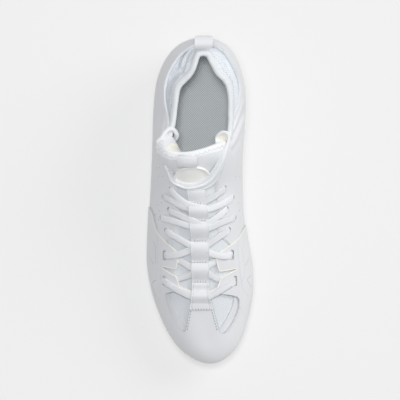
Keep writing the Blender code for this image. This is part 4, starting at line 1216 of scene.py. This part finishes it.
# Pitches and depths are in millimetres. Knit, webbing and lace have a pitch a little coarser
# than real ones, so that it shows.
SHELL = shell_leather("white_synthetic_leather", "#E7E8EB", "#E2E3E6", roughness=0.42)
OVERLAY_FILM = shell_leather("white_fused_film", "#E7E8EA", "#E2E3E5", roughness=0.38)
RAW_EDGE = cut_edge()
VAMP_KNIT = open_mesh("white_vamp_knit", "#EAEDF0", "#DBE0E5", pitch=1.5, hole=0.45, depth=0.18)
CUFF_MESH = open_mesh("white_spacer_mesh", "#EFF3F8", "#DCE3EC", pitch=2.2, hole=0.4, depth=0.35)
TONGUE_KNIT = open_mesh("white_tongue_knit", "#EEF0F2", "#DEE1E5", pitch=1.1, hole=0.4, depth=0.15)
HEM_KNIT = woven_ribs("white_rib_hem", "#F4F5F6", "#E2E5E9", pitch=1.2, depth=0.18, roughness=0.8)
CORD_KNIT = woven_ribs("white_knitted_cord", "#FFFFFF", "#F0F2F4", pitch=1.0, depth=0.12, roughness=0.8)
LINING = open_mesh("cream_tricot_lining", "#FEFBF0", "#F4F0E3", pitch=1.2, hole=0.4, depth=0.12)
WEB = woven_ribs("white_grosgrain", "#F5F6F8", "#E2E3E7", pitch=1.1, depth=0.22)
LACE = braid("white_braided_lace", "#F5F6F8", "#E3E5E9", pitch=1.3, depth=0.22)
SOCKLINER = sockliner_mesh()
PLATE = moulded("white_moulded_plate", "#EFEFEF", "#E9EAEB", roughness=0.35, texture=0.03)
PATCH = moulded("cream_soft_patch", "#FFFFFC", "#FCFAF5", roughness=0.45, texture=0.05)
THREAD = thread("white_thread", "#F3F4F6", "#DCDDE2")
# The three grey colours below are painted shade, for the tack rows, holes, stitch rows, pressed lines and
# window edges of the white shoe.
TACK_SHADE_PAINT = thread("grey_painted_tack_shade", "#C2C3C7", "#B2B3B9")
DARK_SHADE_PAINT = thread("grey_painted_deep_shade", "#B4B8C4", "#A2A6B4")
PALE_SHADE_PAINT = thread("pale_grey_painted_shade", "#D2D5DB", "#C7CAD2")


# Pieces

# Rows of the shell's sheets to one rib.
STEPS = 14

# Quarters: last rib on either side, ribs over which the throat's edge begins to roll in, and
# the shares of the climb in which the creases come in, and stop short of the edge.
QUARTER_RIB = 11
ROLL_RIBS = (6.2, 7.2)
CREASE_IN = (0.3, 0.5)
CREASE_OUT = (0, 0.06)


def make_quarters():
    """Back and sides of the shell, open along the collar and throat."""
    position = np.linspace(-QUARTER_RIB, QUARTER_RIB, 2 * QUARTER_RIB * STEPS + 1)
    points = rib_sheet(position, shell_edge(position), wall_rows=10, dome_rows=44)
    from_edge = run_length(points[:, ::-1], 1)[:, ::-1]
    throat = ease(np.abs(position), *ROLL_RIBS)[:, None]
    roll = THROAT_ROLL * throat * np.clip(1 - from_edge / THROAT_ROLL_WIDTH, 0, 1) ** 2
    climb = np.linspace(0, 1, points.shape[1])
    creases = crease_lift(points, QUARTER_CREASES) * ease(climb, *CREASE_IN) * ease(1 - climb, *CREASE_OUT)
    points = points + outward(points) * (creases - roll)[..., None]
    piece = sheet_piece("quarters", points[:, ::-1], QUARTER[1] - QUARTER[0])
    piece.data.materials.append(SHELL)
    # The eyelet and pinhole walls are grey: painted shade inside the holes.
    cutters = [hole_cutter(hole, EYELET_RADIUS, depth=9, sides=20, material=PALE_SHADE_PAINT) for hole in EYELETS]
    cutters += [hole_cutter(hole, PINHOLE_RADIUS, depth=4, sides=8, material=DARK_SHADE_PAINT) for hole in PINHOLES]
    cutters.append(plan_block(outline_of(QUARTER_FRONT), RAW_EDGE))
    cut(piece, cutters)
    finish(piece, SHELL, ["upper"])


def crease_lift(points, creases):
    """Soft ridges and troughs along plan lines."""
    plan = points[..., None, :2]
    total = np.zeros(points.shape[:2])
    for crease in creases:
        line = even_path(curve_through(crease.line), CREASE_STEP)
        apart = np.min(np.linalg.norm(plan - line, axis=-1), axis=-1)
        total += crease.height * np.exp(-(apart / crease.width) ** 2)
    return total


def toe_sheet(first_rib, depth):
    """Rib sheet round the toe that closes over the spine, lifted to a depth."""
    position = np.linspace(first_rib, RING - first_rib, round((RING - 2 * first_rib) * STEPS) + 1)
    sheet = rib_sheet(position, np.zeros(len(position)), wall_rows=8, dome_rows=52)
    points = soften_ridge(sheet, TOE_HEIGHTS)
    normals = outward(points)
    normals[:, -1] = unit(normals[:, -2] + normals[::-1, -2])
    return (points + normals * depth)[:, ::-1]


def toe_layer(name, first_rib, layer, material, openings):
    """Layer round the toe, welded along the spine, with plan outlines cut out of it."""
    piece = grid_piece(name, toe_sheet(first_rib, layer[1]))
    weld(piece)
    thicken(piece, layer[1] - layer[0])
    piece.data.materials.append(material)
    for strokes in openings:
        cut(piece, [plan_block(outline_of(strokes), RAW_EDGE)])
    return piece


def make_overlay():
    """Forefoot overlay with its lace fingers, slots and two toe windows."""
    piece = toe_layer("forefoot_overlay", OVERLAY_RIB, OVERLAY, OVERLAY_FILM,
                      (OVERLAY_OPENING, LATERAL_WINDOW, MEDIAL_WINDOW))
    turn = np.linspace(0, 2 * math.pi, 24, endpoint=False)
    circle = np.stack([np.cos(turn), np.sin(turn)], axis=1)
    box = np.sign(circle) * np.abs(circle) ** SLOT_CORNER * (SLOT_HALF_WIDTH, SLOT_HALF_LENGTH)
    cut(piece, [plan_block(box + slot, RAW_EDGE, SLOT_FLOOR) for slot in SLOTS])
    finish(piece, OVERLAY_FILM, ["upper"])


def make_overlay_beads():
    """Cream backing that swells out along the overlay's edge, and grey lines round its windows that are
    painted shade along the window edges.
    """
    edge = OVERLAY_OPENING[:OVERLAY_EDGE_STROKES]
    for name, strokes, material, width in (("overlay_edge_bead", edge, RAW_EDGE, EDGE_BEAD),
                                           ("lateral_window_shade_bead", LATERAL_WINDOW, PALE_SHADE_PAINT, WINDOW_BEAD),
                                           ("medial_window_shade_bead", MEDIAL_WINDOW, PALE_SHADE_PAINT, WINDOW_BEAD)):
        line = np.vstack([outline_of(strokes), strokes[-1][-1:]])
        places, ups = over_the_side(even_path(line, TRIM_STEP), BEAD_LIFT)
        finish(sweep(name, places, ups, width, BEAD_HEIGHT, sides=8), material)


def make_toe_base():
    """Layer under the overlay whose edge shows as a band inside the toe windows."""
    piece = toe_layer("toe_base", TOE_BASE_RIB, TOE_BASE, SHELL, (LATERAL_BAND, MEDIAL_BAND))
    finish(piece, SHELL, ["upper"])


def make_vamp():
    """Knitted vamp under the laces and the toe windows."""
    points = throat_sheet(VAMP_TOE_RIB, VAMP_TOE_REACH, VAMP_TOP_REACH, VAMP_TOP,
                          rows=130, columns=76, narrowing=VAMP_NARROWING)
    x, y = points[..., 0], points[..., 1]
    bulge = ease(np.abs(x), *BULGE_SIDE) * (1 - ease(y, *BULGE_BACK)) * ease(y, *BULGE_FRONT)
    points = points + upward(points) * (VAMP[1] + VAMP_SIDE_RISE * bulge)[..., None]
    piece = sheet_piece("vamp_knit", points, VAMP[1] - VAMP[0])
    finish(piece, VAMP_KNIT, ["vamp"])


def make_top_binding():
    """Folded binding along the shell's top line that widens into the vamp's rolled rim."""
    lateral = np.linspace(0, TOP_LINE_END, 110)
    across = np.linspace(-THROAT_RIM_REACH, THROAT_RIM_REACH, 70)
    heel_to_toe = dome_point(lateral, shell_edge(lateral))
    toe_to_heel = dome_point(-lateral[::-1], shell_edge(-lateral[::-1]))
    rim = signed_dome(look_up(across, VAMP_TOP, "across", "rib"), across)
    loop = even_path(np.vstack([heel_to_toe, rim, toe_to_heel]), BINDING_STEP)[:-1]
    wrap = 8
    loop = smooth_line(np.vstack([loop[-wrap:], loop, loop[:wrap]]), width=13)[wrap:-wrap]
    places, ups = on_last(loop[:, :2])
    throat = 1 - ease(loop[:, 1], THROAT_RIM_START, THROAT_RIM_FULL)
    depth, width = [size + gain * throat for size, gain in (BINDING_DEPTH, BINDING_WIDTH)]
    path = places - ups * depth[:, None]
    finish(sweep("top_line_binding", path, ups, width, BINDING_HEIGHT, closed=True), HEM_KNIT)


def make_throat_band():
    """Cord round the throat, run on from the medial pleat, and the soft band that it lies on."""
    cord, facing = on_last(even_path(curve_through(THROAT_CORD), TRIM_STEP), CORD_DEPTH)
    pleat = curve_through(MEDIAL_PLEAT)
    path = smooth_line(np.vstack([pleat, cord]), width=7)
    ups = smooth_line(np.vstack([np.tile(PLEAT_FACING, (len(pleat), 1)), facing]), width=9)
    width = CORD_WIDTH + PLEAT_GAIN * (1 - ease(np.arange(len(path)), len(pleat) - 4, len(pleat) + 8))
    finish(sweep("throat_cord", path, ups, width, CORD_WIDTH), CORD_KNIT)
    fold, ups = on_last(even_path(curve_through(THROAT_FOLD), TRIM_STEP), FOLD_DEPTH)
    finish(sweep("throat_fold", fold - ups * FOLD_SINK, ups, FOLD_WIDTH, FOLD_WIDTH), HEM_KNIT)
    rim, facing = on_last(curve_through(THROAT_RIM), BAND_DEPTH)
    inner, outer, facing = [resample(line, count=90) for line in (fold, rim, facing)]
    rows = []
    for share in np.linspace(0, 1, 9):
        rows.append(inner + (outer - inner) * share + facing * BAND_PUFF * math.sin(math.pi * share))
    finish(sheet_piece("throat_band", np.stack(rows, axis=1), BAND_WALL), HEM_KNIT)
    loop = np.vstack([pleat, pleat[:1]])
    web = np.stack([loop + (np.array(PLEAT_HEART) - loop) * share for share in PLEAT_ROWS], axis=1)
    finish(sheet_piece("medial_pleat_web", web, LINING_WALL), LINING)


def tongue_surface(rows, columns):
    """Outer face of the tongue, with its lateral top corner flared over the collar."""
    points = throat_sheet(TONGUE_FOOT_RIB, TONGUE_FOOT_REACH, TONGUE_TOP_REACH, TONGUE_TOP, rows, columns)
    along = np.linspace(0, 1, rows)[:, None]
    across = np.linspace(1, -1, columns)[None, :]
    flare = (ease(along, WING_START[0], 1) * ease(across, WING_START[1], 1))[..., None]
    rise = (ease(along, *TONGUE_RISE_ALONG) * ease(np.abs(across), *TONGUE_RISE_ACROSS))[..., None]
    lift = TONGUE_TOP_DEPTH + TONGUE_SIDE_RISE * rise + WING_LIFT * flare
    return points + upward(points) * lift + np.array(WING_SHIFT) * flare ** 2


def make_tongue():
    """Padded tongue with its hem and the inside of its flared corner."""
    points = tongue_surface(rows=22, columns=41)
    piece = sheet_piece("tongue_body", points, TONGUE_WALL)
    round_off(piece, levels=1)
    finish(piece, TONGUE_KNIT, ["tongue"])
    ups = upward(points)[-1]
    make_tongue_hem(points[-1], ups)
    make_tongue_wing(points[-1], ups)


def make_tongue_hem(top, ups):
    """Cord along the tongue's top edge, run on into the wing's fold, and a zigzag band under it."""
    pleat = curve_through(WING_PLEAT)
    seam = np.vstack([top[:0:-1] - ups[:0:-1] * HEM_SINK, pleat])
    facing = np.vstack([ups[:0:-1], np.tile(UP, (len(pleat), 1))])
    path = smooth_line(seam, width=5)
    cord = sweep("tongue_hem", path, smooth_line(facing, width=9), HEM_CORD, HEM_CORD)
    finish(cord, CORD_KNIT)
    fine = tongue_surface(rows=60, columns=61)[-TONGUE_HEM_ROWS:]
    fine = fine + upward(fine) * HEM_BAND_LIFT
    finish(sheet_piece("tongue_hem_band", fine, HEM_BAND_WALL), CORD_KNIT)
    middle = even_path(fine[TONGUE_HEM_ROWS // 2], ZIGZAG_STEP)
    ahead = unit(np.gradient(middle, axis=0))
    facing = unit(resample(upward(fine)[TONGUE_HEM_ROWS // 2], len(middle)))
    slant = np.where(np.arange(len(middle)) % 2, ZIGZAG_SLANT, -ZIGZAG_SLANT)[:, None]
    row = (middle + facing * STITCH_LIFT, unit(ahead + np.cross(facing, ahead) * slant), facing)
    finish(stitches("tongue_hem_zigzag", [row], ZIGZAG_STITCH), THREAD)


def make_tongue_wing(top, ups):
    """Inside of the flared corner: a band along its edge and the lining down into the shoe."""
    front = (top - ups * WING_SINK)[:WING_COLUMNS]
    drop = curve_through((front[-1],) + WING_DROP, steps=5)
    lining = corner_patch(front, curve_through(WING_BACK, steps=5), drop, rows=16)
    split = round(len(front) * WING_HEM_SHARE)
    finish(sheet_piece("tongue_wing_band", lining[:, :split + 1], LINING_WALL), HEM_KNIT)
    finish(sheet_piece("tongue_wing_lining", lining[:, split:], LINING_WALL), LINING)


def corner_patch(front, back, drop, rows):
    """Sheet over three edges: front and back start at one tip, drop hangs from front's end."""
    u = np.linspace(0, 1, len(front))[:, None]
    back = resample(back, rows)
    drop = resample(drop, rows)
    low = back[-1] + (drop[-1] - back[-1]) * u
    sheet = np.empty((rows, len(front), 3))
    for index, share in enumerate(np.linspace(0, 1, rows)):
        ruled = front + (low - front) * share
        sheet[index] = ruled + (back[index] - ruled[0]) * (1 - u) + (drop[index] - ruled[-1]) * u
    return sheet[::-1]


def cuff_surface(position):
    """Outer face of the ankle sleeve: up inside the shell, then leaning in to its rim."""
    ribs = np.abs(position)
    rim = [np.where(position >= 0, look_up(ribs, RIM, "rib", "lat_" + axis),
                    look_up(ribs, RIM, "rib", "med_" + axis)) for axis in "xy"]
    rim = np.stack(rim + [look_up(ribs, RIM, "rib", "height")], axis=-1)
    edge = shell_edge(position)
    rows = [dome_point(position, 1 - (1 - edge) * share) for share in np.linspace(*SLEEVE_INSIDE)]
    start = dome_point(position, 1 - (1 - edge) * SLEEVE_LEAN)
    rim = rim + unit(start - rim) * HEM_WIDTH / 2
    rows += [start + (rim - start) * share for share in np.linspace(0, 1, 12)]
    points = np.stack(rows, axis=1)
    climb = np.linspace(0, 1, points.shape[1])
    foot = CUFF_DEPTH - CUFF_MEDIAL_RISE * ease(-position, *MEDIAL_RISE_RIBS)[:, None]
    depth = foot + (CUFF_RIM_DEPTH - foot) * ease(climb, *SLEEVE_TURN)
    lift = crease_lift(points, SLEEVE_CREASES) * ease(climb, *SLEEVE_CREASE_IN)
    return points + outward(points) * (lift - depth)[..., None]


def make_cuff():
    """Padded ankle sleeve with a rolled hem and the stitches beside it."""
    points = cuff_surface(np.linspace(-RIM[-1].rib, RIM[-1].rib, 200))
    piece = sheet_piece("ankle_sleeve", points[:, ::-1], CUFF_WALL)
    round_off(piece, levels=1)
    finish(piece, CUFF_MESH, ["cuff"])
    ups = outward(points)[:, -1]
    edge = points[:, -1] - ups * CUFF_WALL / 2
    drop = np.array(HEM_TAIL)
    path = np.vstack([edge[0] + drop[::-1], edge, edge[-1] + drop])
    facing = np.pad(ups, ((len(drop), len(drop)), (0, 0)), "edge")
    finish(sweep("ankle_sleeve_hem", path, facing, HEM_WIDTH, HEM_HEIGHT, power=2.2), HEM_KNIT)
    seam = even_path(points[:, SLEEVE_SEAM_ROW] + ups * STITCH_LIFT, SLEEVE_STITCH_STEP)
    places = np.linspace(0, 1, len(seam))
    facing = [np.interp(places, np.linspace(0, 1, len(ups)), ups[:, axis]) for axis in range(3)]
    row = (seam, unit(np.gradient(seam, axis=0)), unit(np.stack(facing, axis=1)))
    # The sleeve's stitches are grey: painted shade along the stitch line.
    finish(stitches("sleeve_stitching", [row], SLEEVE_STITCH), PALE_SHADE_PAINT)


def make_insole():
    """Sockliner dished a little in the middle."""
    position = np.arange(RING * SOLE_STEPS + 1) / SOLE_STEPS
    edge = wall_point(position, 0.0, -INSOLE_INSET)
    centre = join_height(rib_at(position).spine, np.zeros(len(position)))
    columns = []
    for row in INSOLE_RINGS:
        ring = edge + (centre - edge) * row.share
        ring[:, 2] = sole_height(ring[:, 1], "feather") + row.lift
        columns.append(ring)
    piece = grid_piece("sockliner", np.stack(columns, axis=1)[:, ::-1])
    close(piece)
    finish(piece, SOCKLINER, ["insole"], angle=60)


def make_outsole():
    """Moulded plate with a cupped side wall and tapered studs."""
    position = np.arange(RING * SOLE_STEPS + 1) / SOLE_STEPS
    rib = rib_at(position)
    feather = sole_height(rib.outline[:, 1], "feather")
    rise = sole_height(rib.outline[:, 1], "side_wall") / (rib.widest - feather)

    def flat(ring, share, column, lift):
        """Ring drawn in by a share of the way to the spine and laid on the sole's profile."""
        moved = ring + (join_height(rib.spine, ring[:, 2]) - ring) * share
        moved[:, 2] = sole_height(moved[:, 1], column) + lift
        return moved

    low = wall_point(position, 0.0, SOLE_CLEAR + SOLE_WALL * SOLE_EDGE_SHARE)
    side = wall_point(position, 0.0, SOLE_CLEAR + SOLE_WALL)
    side[:, 2] -= SIDE_DROP
    seat = wall_point(position, 0.0, SOLE_CLEAR)
    seat[:, 2] -= SEAT_DROP
    columns = [flat(low, share, "bottom", 0) for share in SOLE_SHARES]
    columns += [flat(low, 0.0, "bottom", SOLE_EDGE_RISE), side]
    columns += [wall_point(position, rise * lip.rise, SOLE_CLEAR + SOLE_WALL * lip.wall) for lip in SIDE_LIP]
    columns += [seat] + [flat(seat, share, "feather", -SEAT_DROP) for share in SEAT_SHARES]
    piece = grid_piece("outsole_plate", np.stack(columns, axis=1)[:, ::-1])
    close(piece)
    piece.data.materials.append(PLATE)
    cut(piece, [stud_block(stud) for stud in STUDS], "UNION")
    finish(piece, PLATE, ["outsole"], angle=35)


def stud_block(stud):
    """Tapered blade with a softened tip, from the floor up into the plate."""
    top = float(sole_height(np.array(float(stud.y)), "bottom")) + STUD_SINK
    blade = primitive(bpy.ops.mesh.primitive_cone_add, vertices=28, radius1=STUD_TIP / 2, radius2=0.5,
                      depth=top, location=(0, 0, top / 2))
    size = Matrix.Diagonal((stud.width, stud.length, 1, 1))
    turn = Matrix.Rotation(math.radians(stud.turn), 4, "Z")
    place = Matrix.Translation(Vector((stud.x, stud.y, 0)) + Vector(SHIFT))
    blade.data.transform(Matrix.Scale(MM, 4) @ place @ turn @ size @ blade.matrix_basis)
    blade.matrix_basis = Matrix.Identity(4)
    modify(blade, "BEVEL", width=STUD_EDGE * MM, segments=3, limit_method="ANGLE",
           angle_limit=math.radians(50))
    blade.data.materials.append(PLATE)
    return blade


def oval(angle, half, turn, centre):
    """Plan points of an oval, turned by some degrees."""
    tilt = math.radians(turn)
    turned = np.array(((math.cos(tilt), math.sin(tilt)), (-math.sin(tilt), math.cos(tilt))))
    return np.stack([np.cos(angle) * half[0], np.sin(angle) * half[1]], axis=1) @ turned + centre


def make_tread():
    """Raised lines under the plate: a border, a step round each stud and chevrons in the arch."""
    position = np.arange(RING * SOLE_STEPS) / SOLE_STEPS
    rim = wall_point(position, 0.0)[:, :2]
    border = rim + (rib_at(position).spine - rim) * BORDER_SHARE
    loops = [(border, True)]
    angle = np.linspace(0, 2 * math.pi, 32, endpoint=False)
    for stud in STUDS:
        half = (stud.width / 2 + STUD_STEP, stud.length / 2 + STUD_STEP)
        loops.append((oval(angle, half, stud.turn, (stud.x, stud.y)), True))
    for y in np.arange(*CHEVRON_ROWS):
        chevron = np.array([(side * CHEVRON_HALF, y + abs(side) * CHEVRON_SWEEP) for side in (-1, 0, 1)])
        loops.append((even_path(chevron, CHEVRON_STEP), False))
    lines = []
    for plan, closed in loops:
        places = join_height(plan, sole_height(plan[:, 1], "bottom"))
        ups = np.tile(UP, (len(places), 1))
        lines.append(sweep("line", places, ups, TREAD_WIDTH, TREAD_HEIGHT, sides=8, closed=closed))
    tread = joined(lines)
    tread.name = "plate_tread"
    finish(tread, PLATE, angle=60)


def keeper_rows():
    """Distance along the strap's axis and height of its underside over the last."""
    rows = []
    for start, end in zip(KEEPER_TACKS, KEEPER_TACKS[1:]):
        land = KEEPER_LAND / abs(end.y - start.y)
        for share in np.linspace(0, 1, 20, endpoint=False):
            free = min(max((share - land) / (1 - 2 * land), 0), 1)
            bow = start.bow * math.sin(math.pi * free ** KEEPER_LEAN) ** KEEPER_FULLNESS
            rows.append((start.y + (end.y - start.y) * share,
                         start.lift + (end.lift - start.lift) * share + bow))
    rows.append((KEEPER_TACKS[-1].y, KEEPER_TACKS[-1].lift))
    return np.array(rows)


def make_keeper():
    """Webbing strap tacked along the throat, bowed up over each lace crossing."""
    rows = keeper_rows()
    left = look_up(rows[:, 0], KEEPER_EDGES, "y", "left")
    right = look_up(rows[:, 0], KEEPER_EDGES, "y", "right")
    lines = []
    for share in np.linspace(0, 1, 13):
        plan = np.stack([left + (right - left) * share, rows[:, 0]], axis=1)
        places, _ = on_last(plan, rows[:, 1] + KEEPER_WALL)
        lines.append(places)
    points = np.stack(lines, axis=1)[::-1]
    ups = upward(points)
    strap = [sheet_piece("keeper_strap", points, KEEPER_WALL)]
    for column in (0, -1):
        edge = points[:, column] - ups[:, column] * SELVEDGE_DEPTH
        strap.append(sweep("edge", edge, ups[:, column], SELVEDGE_WIDTH, SELVEDGE_HEIGHT, sides=8))
    finish(joined(strap), WEB, ["lace_keeper"], angle=60)
    tacks = []
    tack_shade_rows = []
    for tack in [tack for tack in KEEPER_TACKS if tack.sewn]:
        row = ((float(look_up(tack.y, KEEPER_EDGES, "y", "left")) + TACK_MARGIN, tack.y),
               (float(look_up(tack.y, KEEPER_EDGES, "y", "right")) - TACK_MARGIN, tack.y))
        top = tack.lift + KEEPER_WALL
        tacks.append(stitch_row(row, TACK_STEP, top + TACK_LIFT, TACK_SLANT))
        # Grey marks along each tack row, under the white stitches: painted shade of the strap's dip at the
        # tack.
        tack_shade_rows.append(stitch_row(row, TACK_SHADE_STEP, top + TACK_SHADE_LIFT))
    finish(stitches("keeper_tacks", tacks, TACK_STITCH), THREAD)
    finish(stitches("keeper_tack_shade", tack_shade_rows, TACK_SHADE_MARK), TACK_SHADE_PAINT)
    seams = []
    low, high = KEEPER_SIDE_SEAM
    for column in (1, -2):
        sewn = (points[:, column, 1] > low) & (points[:, column, 1] < high)
        places = even_path(points[sewn, column], TACK_STEP)
        facing = unit(resample(ups[sewn, column], len(places)))
        seams.append((places, unit(np.gradient(places, axis=0)), facing))
    # The side seams' stitches are grey: painted shade along the seams.
    finish(stitches("keeper_side_seams", seams, SIDE_STITCH), PALE_SHADE_PAINT)


def make_laces():
    """One lace: a bar at the toe end, then both halves up through slots and eyelets."""
    route = curve_through(LACE_TO_LATERAL[::-1] + LACE_TO_MEDIAL[1:], steps=8)
    base, normals = on_last(route[:, :2])
    path = base + normals * route[:, 2:]
    ahead = unit(np.gradient(path, axis=0))
    wanted = np.cross(ahead, normals)
    steady = [unit(wanted[0])]
    for direction, across in zip(ahead[1:], wanted[1:]):
        if across @ steady[-1] < 0:
            across = -across
        mixed = steady[-1] * LACE_STEADY + across
        steady.append(unit(mixed - direction * (mixed @ direction)))
    ups = np.cross(np.array(steady), ahead)
    inside = np.clip((LACE_DIP - route[:, 2]) / LACE_DIP_RANGE, 0, 1)
    near = np.min(np.linalg.norm(route[:, None, :2] - np.array(EYELETS)[None], axis=2), axis=1)
    pinch = np.clip(1 - near / LACE_NEAR, 0, 1) * inside
    piece = sweep("laces", path, ups, LACE_WIDTH - LACE_PINCH * pinch, LACE_HEIGHT + LACE_SWELL * pinch,
                  power=2.9, sides=16)
    crossings = ["lace_cross_1", "lace_cross_2", "lace_cross_3", "lace_cross_4", "lace_bar"]
    finish(piece, LACE, crossings, angle=60)


def make_heel_loop():
    """Pull loop that stands up behind the heel and turns in over the collar, with its tacks."""
    line = curve_through(HEEL_LOOP, steps=8)
    points = np.empty((len(line), 12, 3))
    points[..., 0] = np.linspace(*HEEL_LOOP_SPAN, 12)
    points[..., 1] = line[:, :1]
    points[..., 2] = line[:, 1:]
    finish(sheet_piece("heel_pull_loop", points[:, ::-1], WEBBING), WEB, ["heel_loop"], angle=60)
    across = np.arange(*HEEL_TACK_SPAN)
    rows = []
    for height in HEEL_TACKS:
        places = np.tile((0.0, HEEL_LOOP[0].y + STITCH_LIFT, height), (len(across), 1))
        places[:, 0] = across
        rows.append((places, np.tile(HEEL_TACK_AHEAD, (len(across), 1)), np.tile(BACK, (len(across), 1))))
    # The tacks are grey: painted shade along the tack rows.
    finish(stitches("heel_loop_tacks", rows, HEEL_STITCH), PALE_SHADE_PAINT)


def make_tongue_loop():
    """Short pull loop that lies folded on the tongue behind the patch."""
    line = curve_through(TONGUE_LOOP)
    lines = []
    for x in np.linspace(*TONGUE_LOOP_SPAN, 12):
        plan = np.stack([np.full(len(line), x), line[:, 0]], axis=1)
        places, _ = on_last(plan, line[:, 1] + WEBBING + TONGUE_TOP_DEPTH)
        lines.append(places)
    piece = sheet_piece("tongue_pull_loop", np.stack(lines, axis=1), WEBBING)
    finish(piece, WEB, ["tongue_loop"], angle=60)


def make_patch():
    """Blank oval patch with a raised rim."""
    angle = np.linspace(0, 2 * math.pi, 65)
    rings = []
    for row in PATCH_RINGS:
        plan = oval(angle, np.array(PATCH_HALF) * row.share, PATCH_TURN, PATCH_CENTRE)
        places, _ = on_last(plan, row.lift + TONGUE_TOP_DEPTH)
        rings.append(places)
    piece = grid_piece("tongue_patch_oval", np.stack(rings, axis=1)[:, ::-1])
    close(piece)
    finish(piece, PATCH, ["tongue_patch"], angle=60)


def make_toe_stitching():
    """Stitch rows beside the toe strip and pressed rows along the forefoot sides, grey as painted shade."""
    top = OVERLAY[1]
    lift = top + TOE_STITCH_LIFT
    seams = [stitch_row(curve_through(seam, steps=10), TOE_STITCH_STEP, lift) for seam in TOE_SEAMS]
    finish(stitches("toe_strip_stitching", seams, TOE_STITCH), DARK_SHADE_PAINT)
    rows = [stitch_row(curve_through(line, steps=8), PRESSED_STEP, top) for line in PRESSED_ROWS]
    finish(stitches("pressed_side_rows", rows, PRESSED_STITCH), PALE_SHADE_PAINT)
    lines = []
    for line in PRESSED_LINES:
        places, ups = on_last(even_path(curve_through(line), PRESSED_LINE_STEP), top)
        lines.append(sweep("line", places, ups, PRESSED_WIDTH, PRESSED_HEIGHT, sides=6))
    pressed = joined(lines)
    pressed.name = "pressed_side_lines"
    finish(pressed, PALE_SHADE_PAINT)


# Stage

LIGHT_AIM = Vector((0, 0, 0.04))


def soft_box(name, place, size, power, colour):
    """Square area light aimed at the shoe."""
    light = bpy.data.lights.new(name, "AREA")
    light.energy = power
    light.size = size
    light.color = colour
    lamp = bpy.data.objects.new(name, light)
    lamp.location = place
    lamp.rotation_mode = "QUATERNION"
    lamp.rotation_quaternion = (LIGHT_AIM - Vector(place)).to_track_quat("-Z", "Y")
    bpy.context.scene.collection.objects.link(lamp)


def make_stage():
    """Pale floor, soft light from the upper right, and a far camera straight overhead."""
    floor = primitive(bpy.ops.mesh.primitive_plane_add, size=8)
    floor.name = "studio_floor"
    # Light table: most of the floor's brightness comes from below.
    material, _, _ = new_material("pale_light_table", 0.9, Base_Color=paint("#9A9A99"),
                                  Emission_Color=paint("#FFFFFF"), Emission_Strength=0.55)
    floor.data.materials.append(material)
    world = bpy.data.worlds.new("studio")
    world.use_nodes = True
    background = world.node_tree.nodes["Background"]
    background.inputs["Color"].default_value = paint("#F5F7FA")
    background.inputs["Strength"].default_value = 0.29
    bpy.context.scene.world = world
    # Plain display curve, so that the whites keep their shading.
    bpy.context.scene.view_settings.view_transform = "Standard"
    soft_box("key_light", (2.6, 1.6, 2.5), size=2.2, power=63.0, colour=(1.0, 0.99, 0.97))
    soft_box("top_light", (-0.05, 0.2, 2.7), size=0.4, power=34.0, colour=(0.98, 0.99, 1.0))
    photo_scale = 0.895 * MM
    photo_side = 400
    distance = 8.0
    reference_height = 0.06
    camera = bpy.data.cameras.new("overhead_camera")
    camera.lens = camera.sensor_width * distance / (photo_scale * photo_side)
    holder = bpy.data.objects.new("overhead_camera", camera)
    holder.location = (0, 0, distance + reference_height)
    bpy.context.scene.collection.objects.link(holder)
    bpy.context.scene.camera = holder


make_stage()
make_outsole()
make_tread()
make_insole()
make_quarters()
make_overlay()
make_overlay_beads()
make_toe_base()
make_vamp()
make_tongue()
make_cuff()
make_top_binding()
make_throat_band()
make_keeper()
make_laces()
make_heel_loop()
make_tongue_loop()
make_patch()
make_toe_stitching()
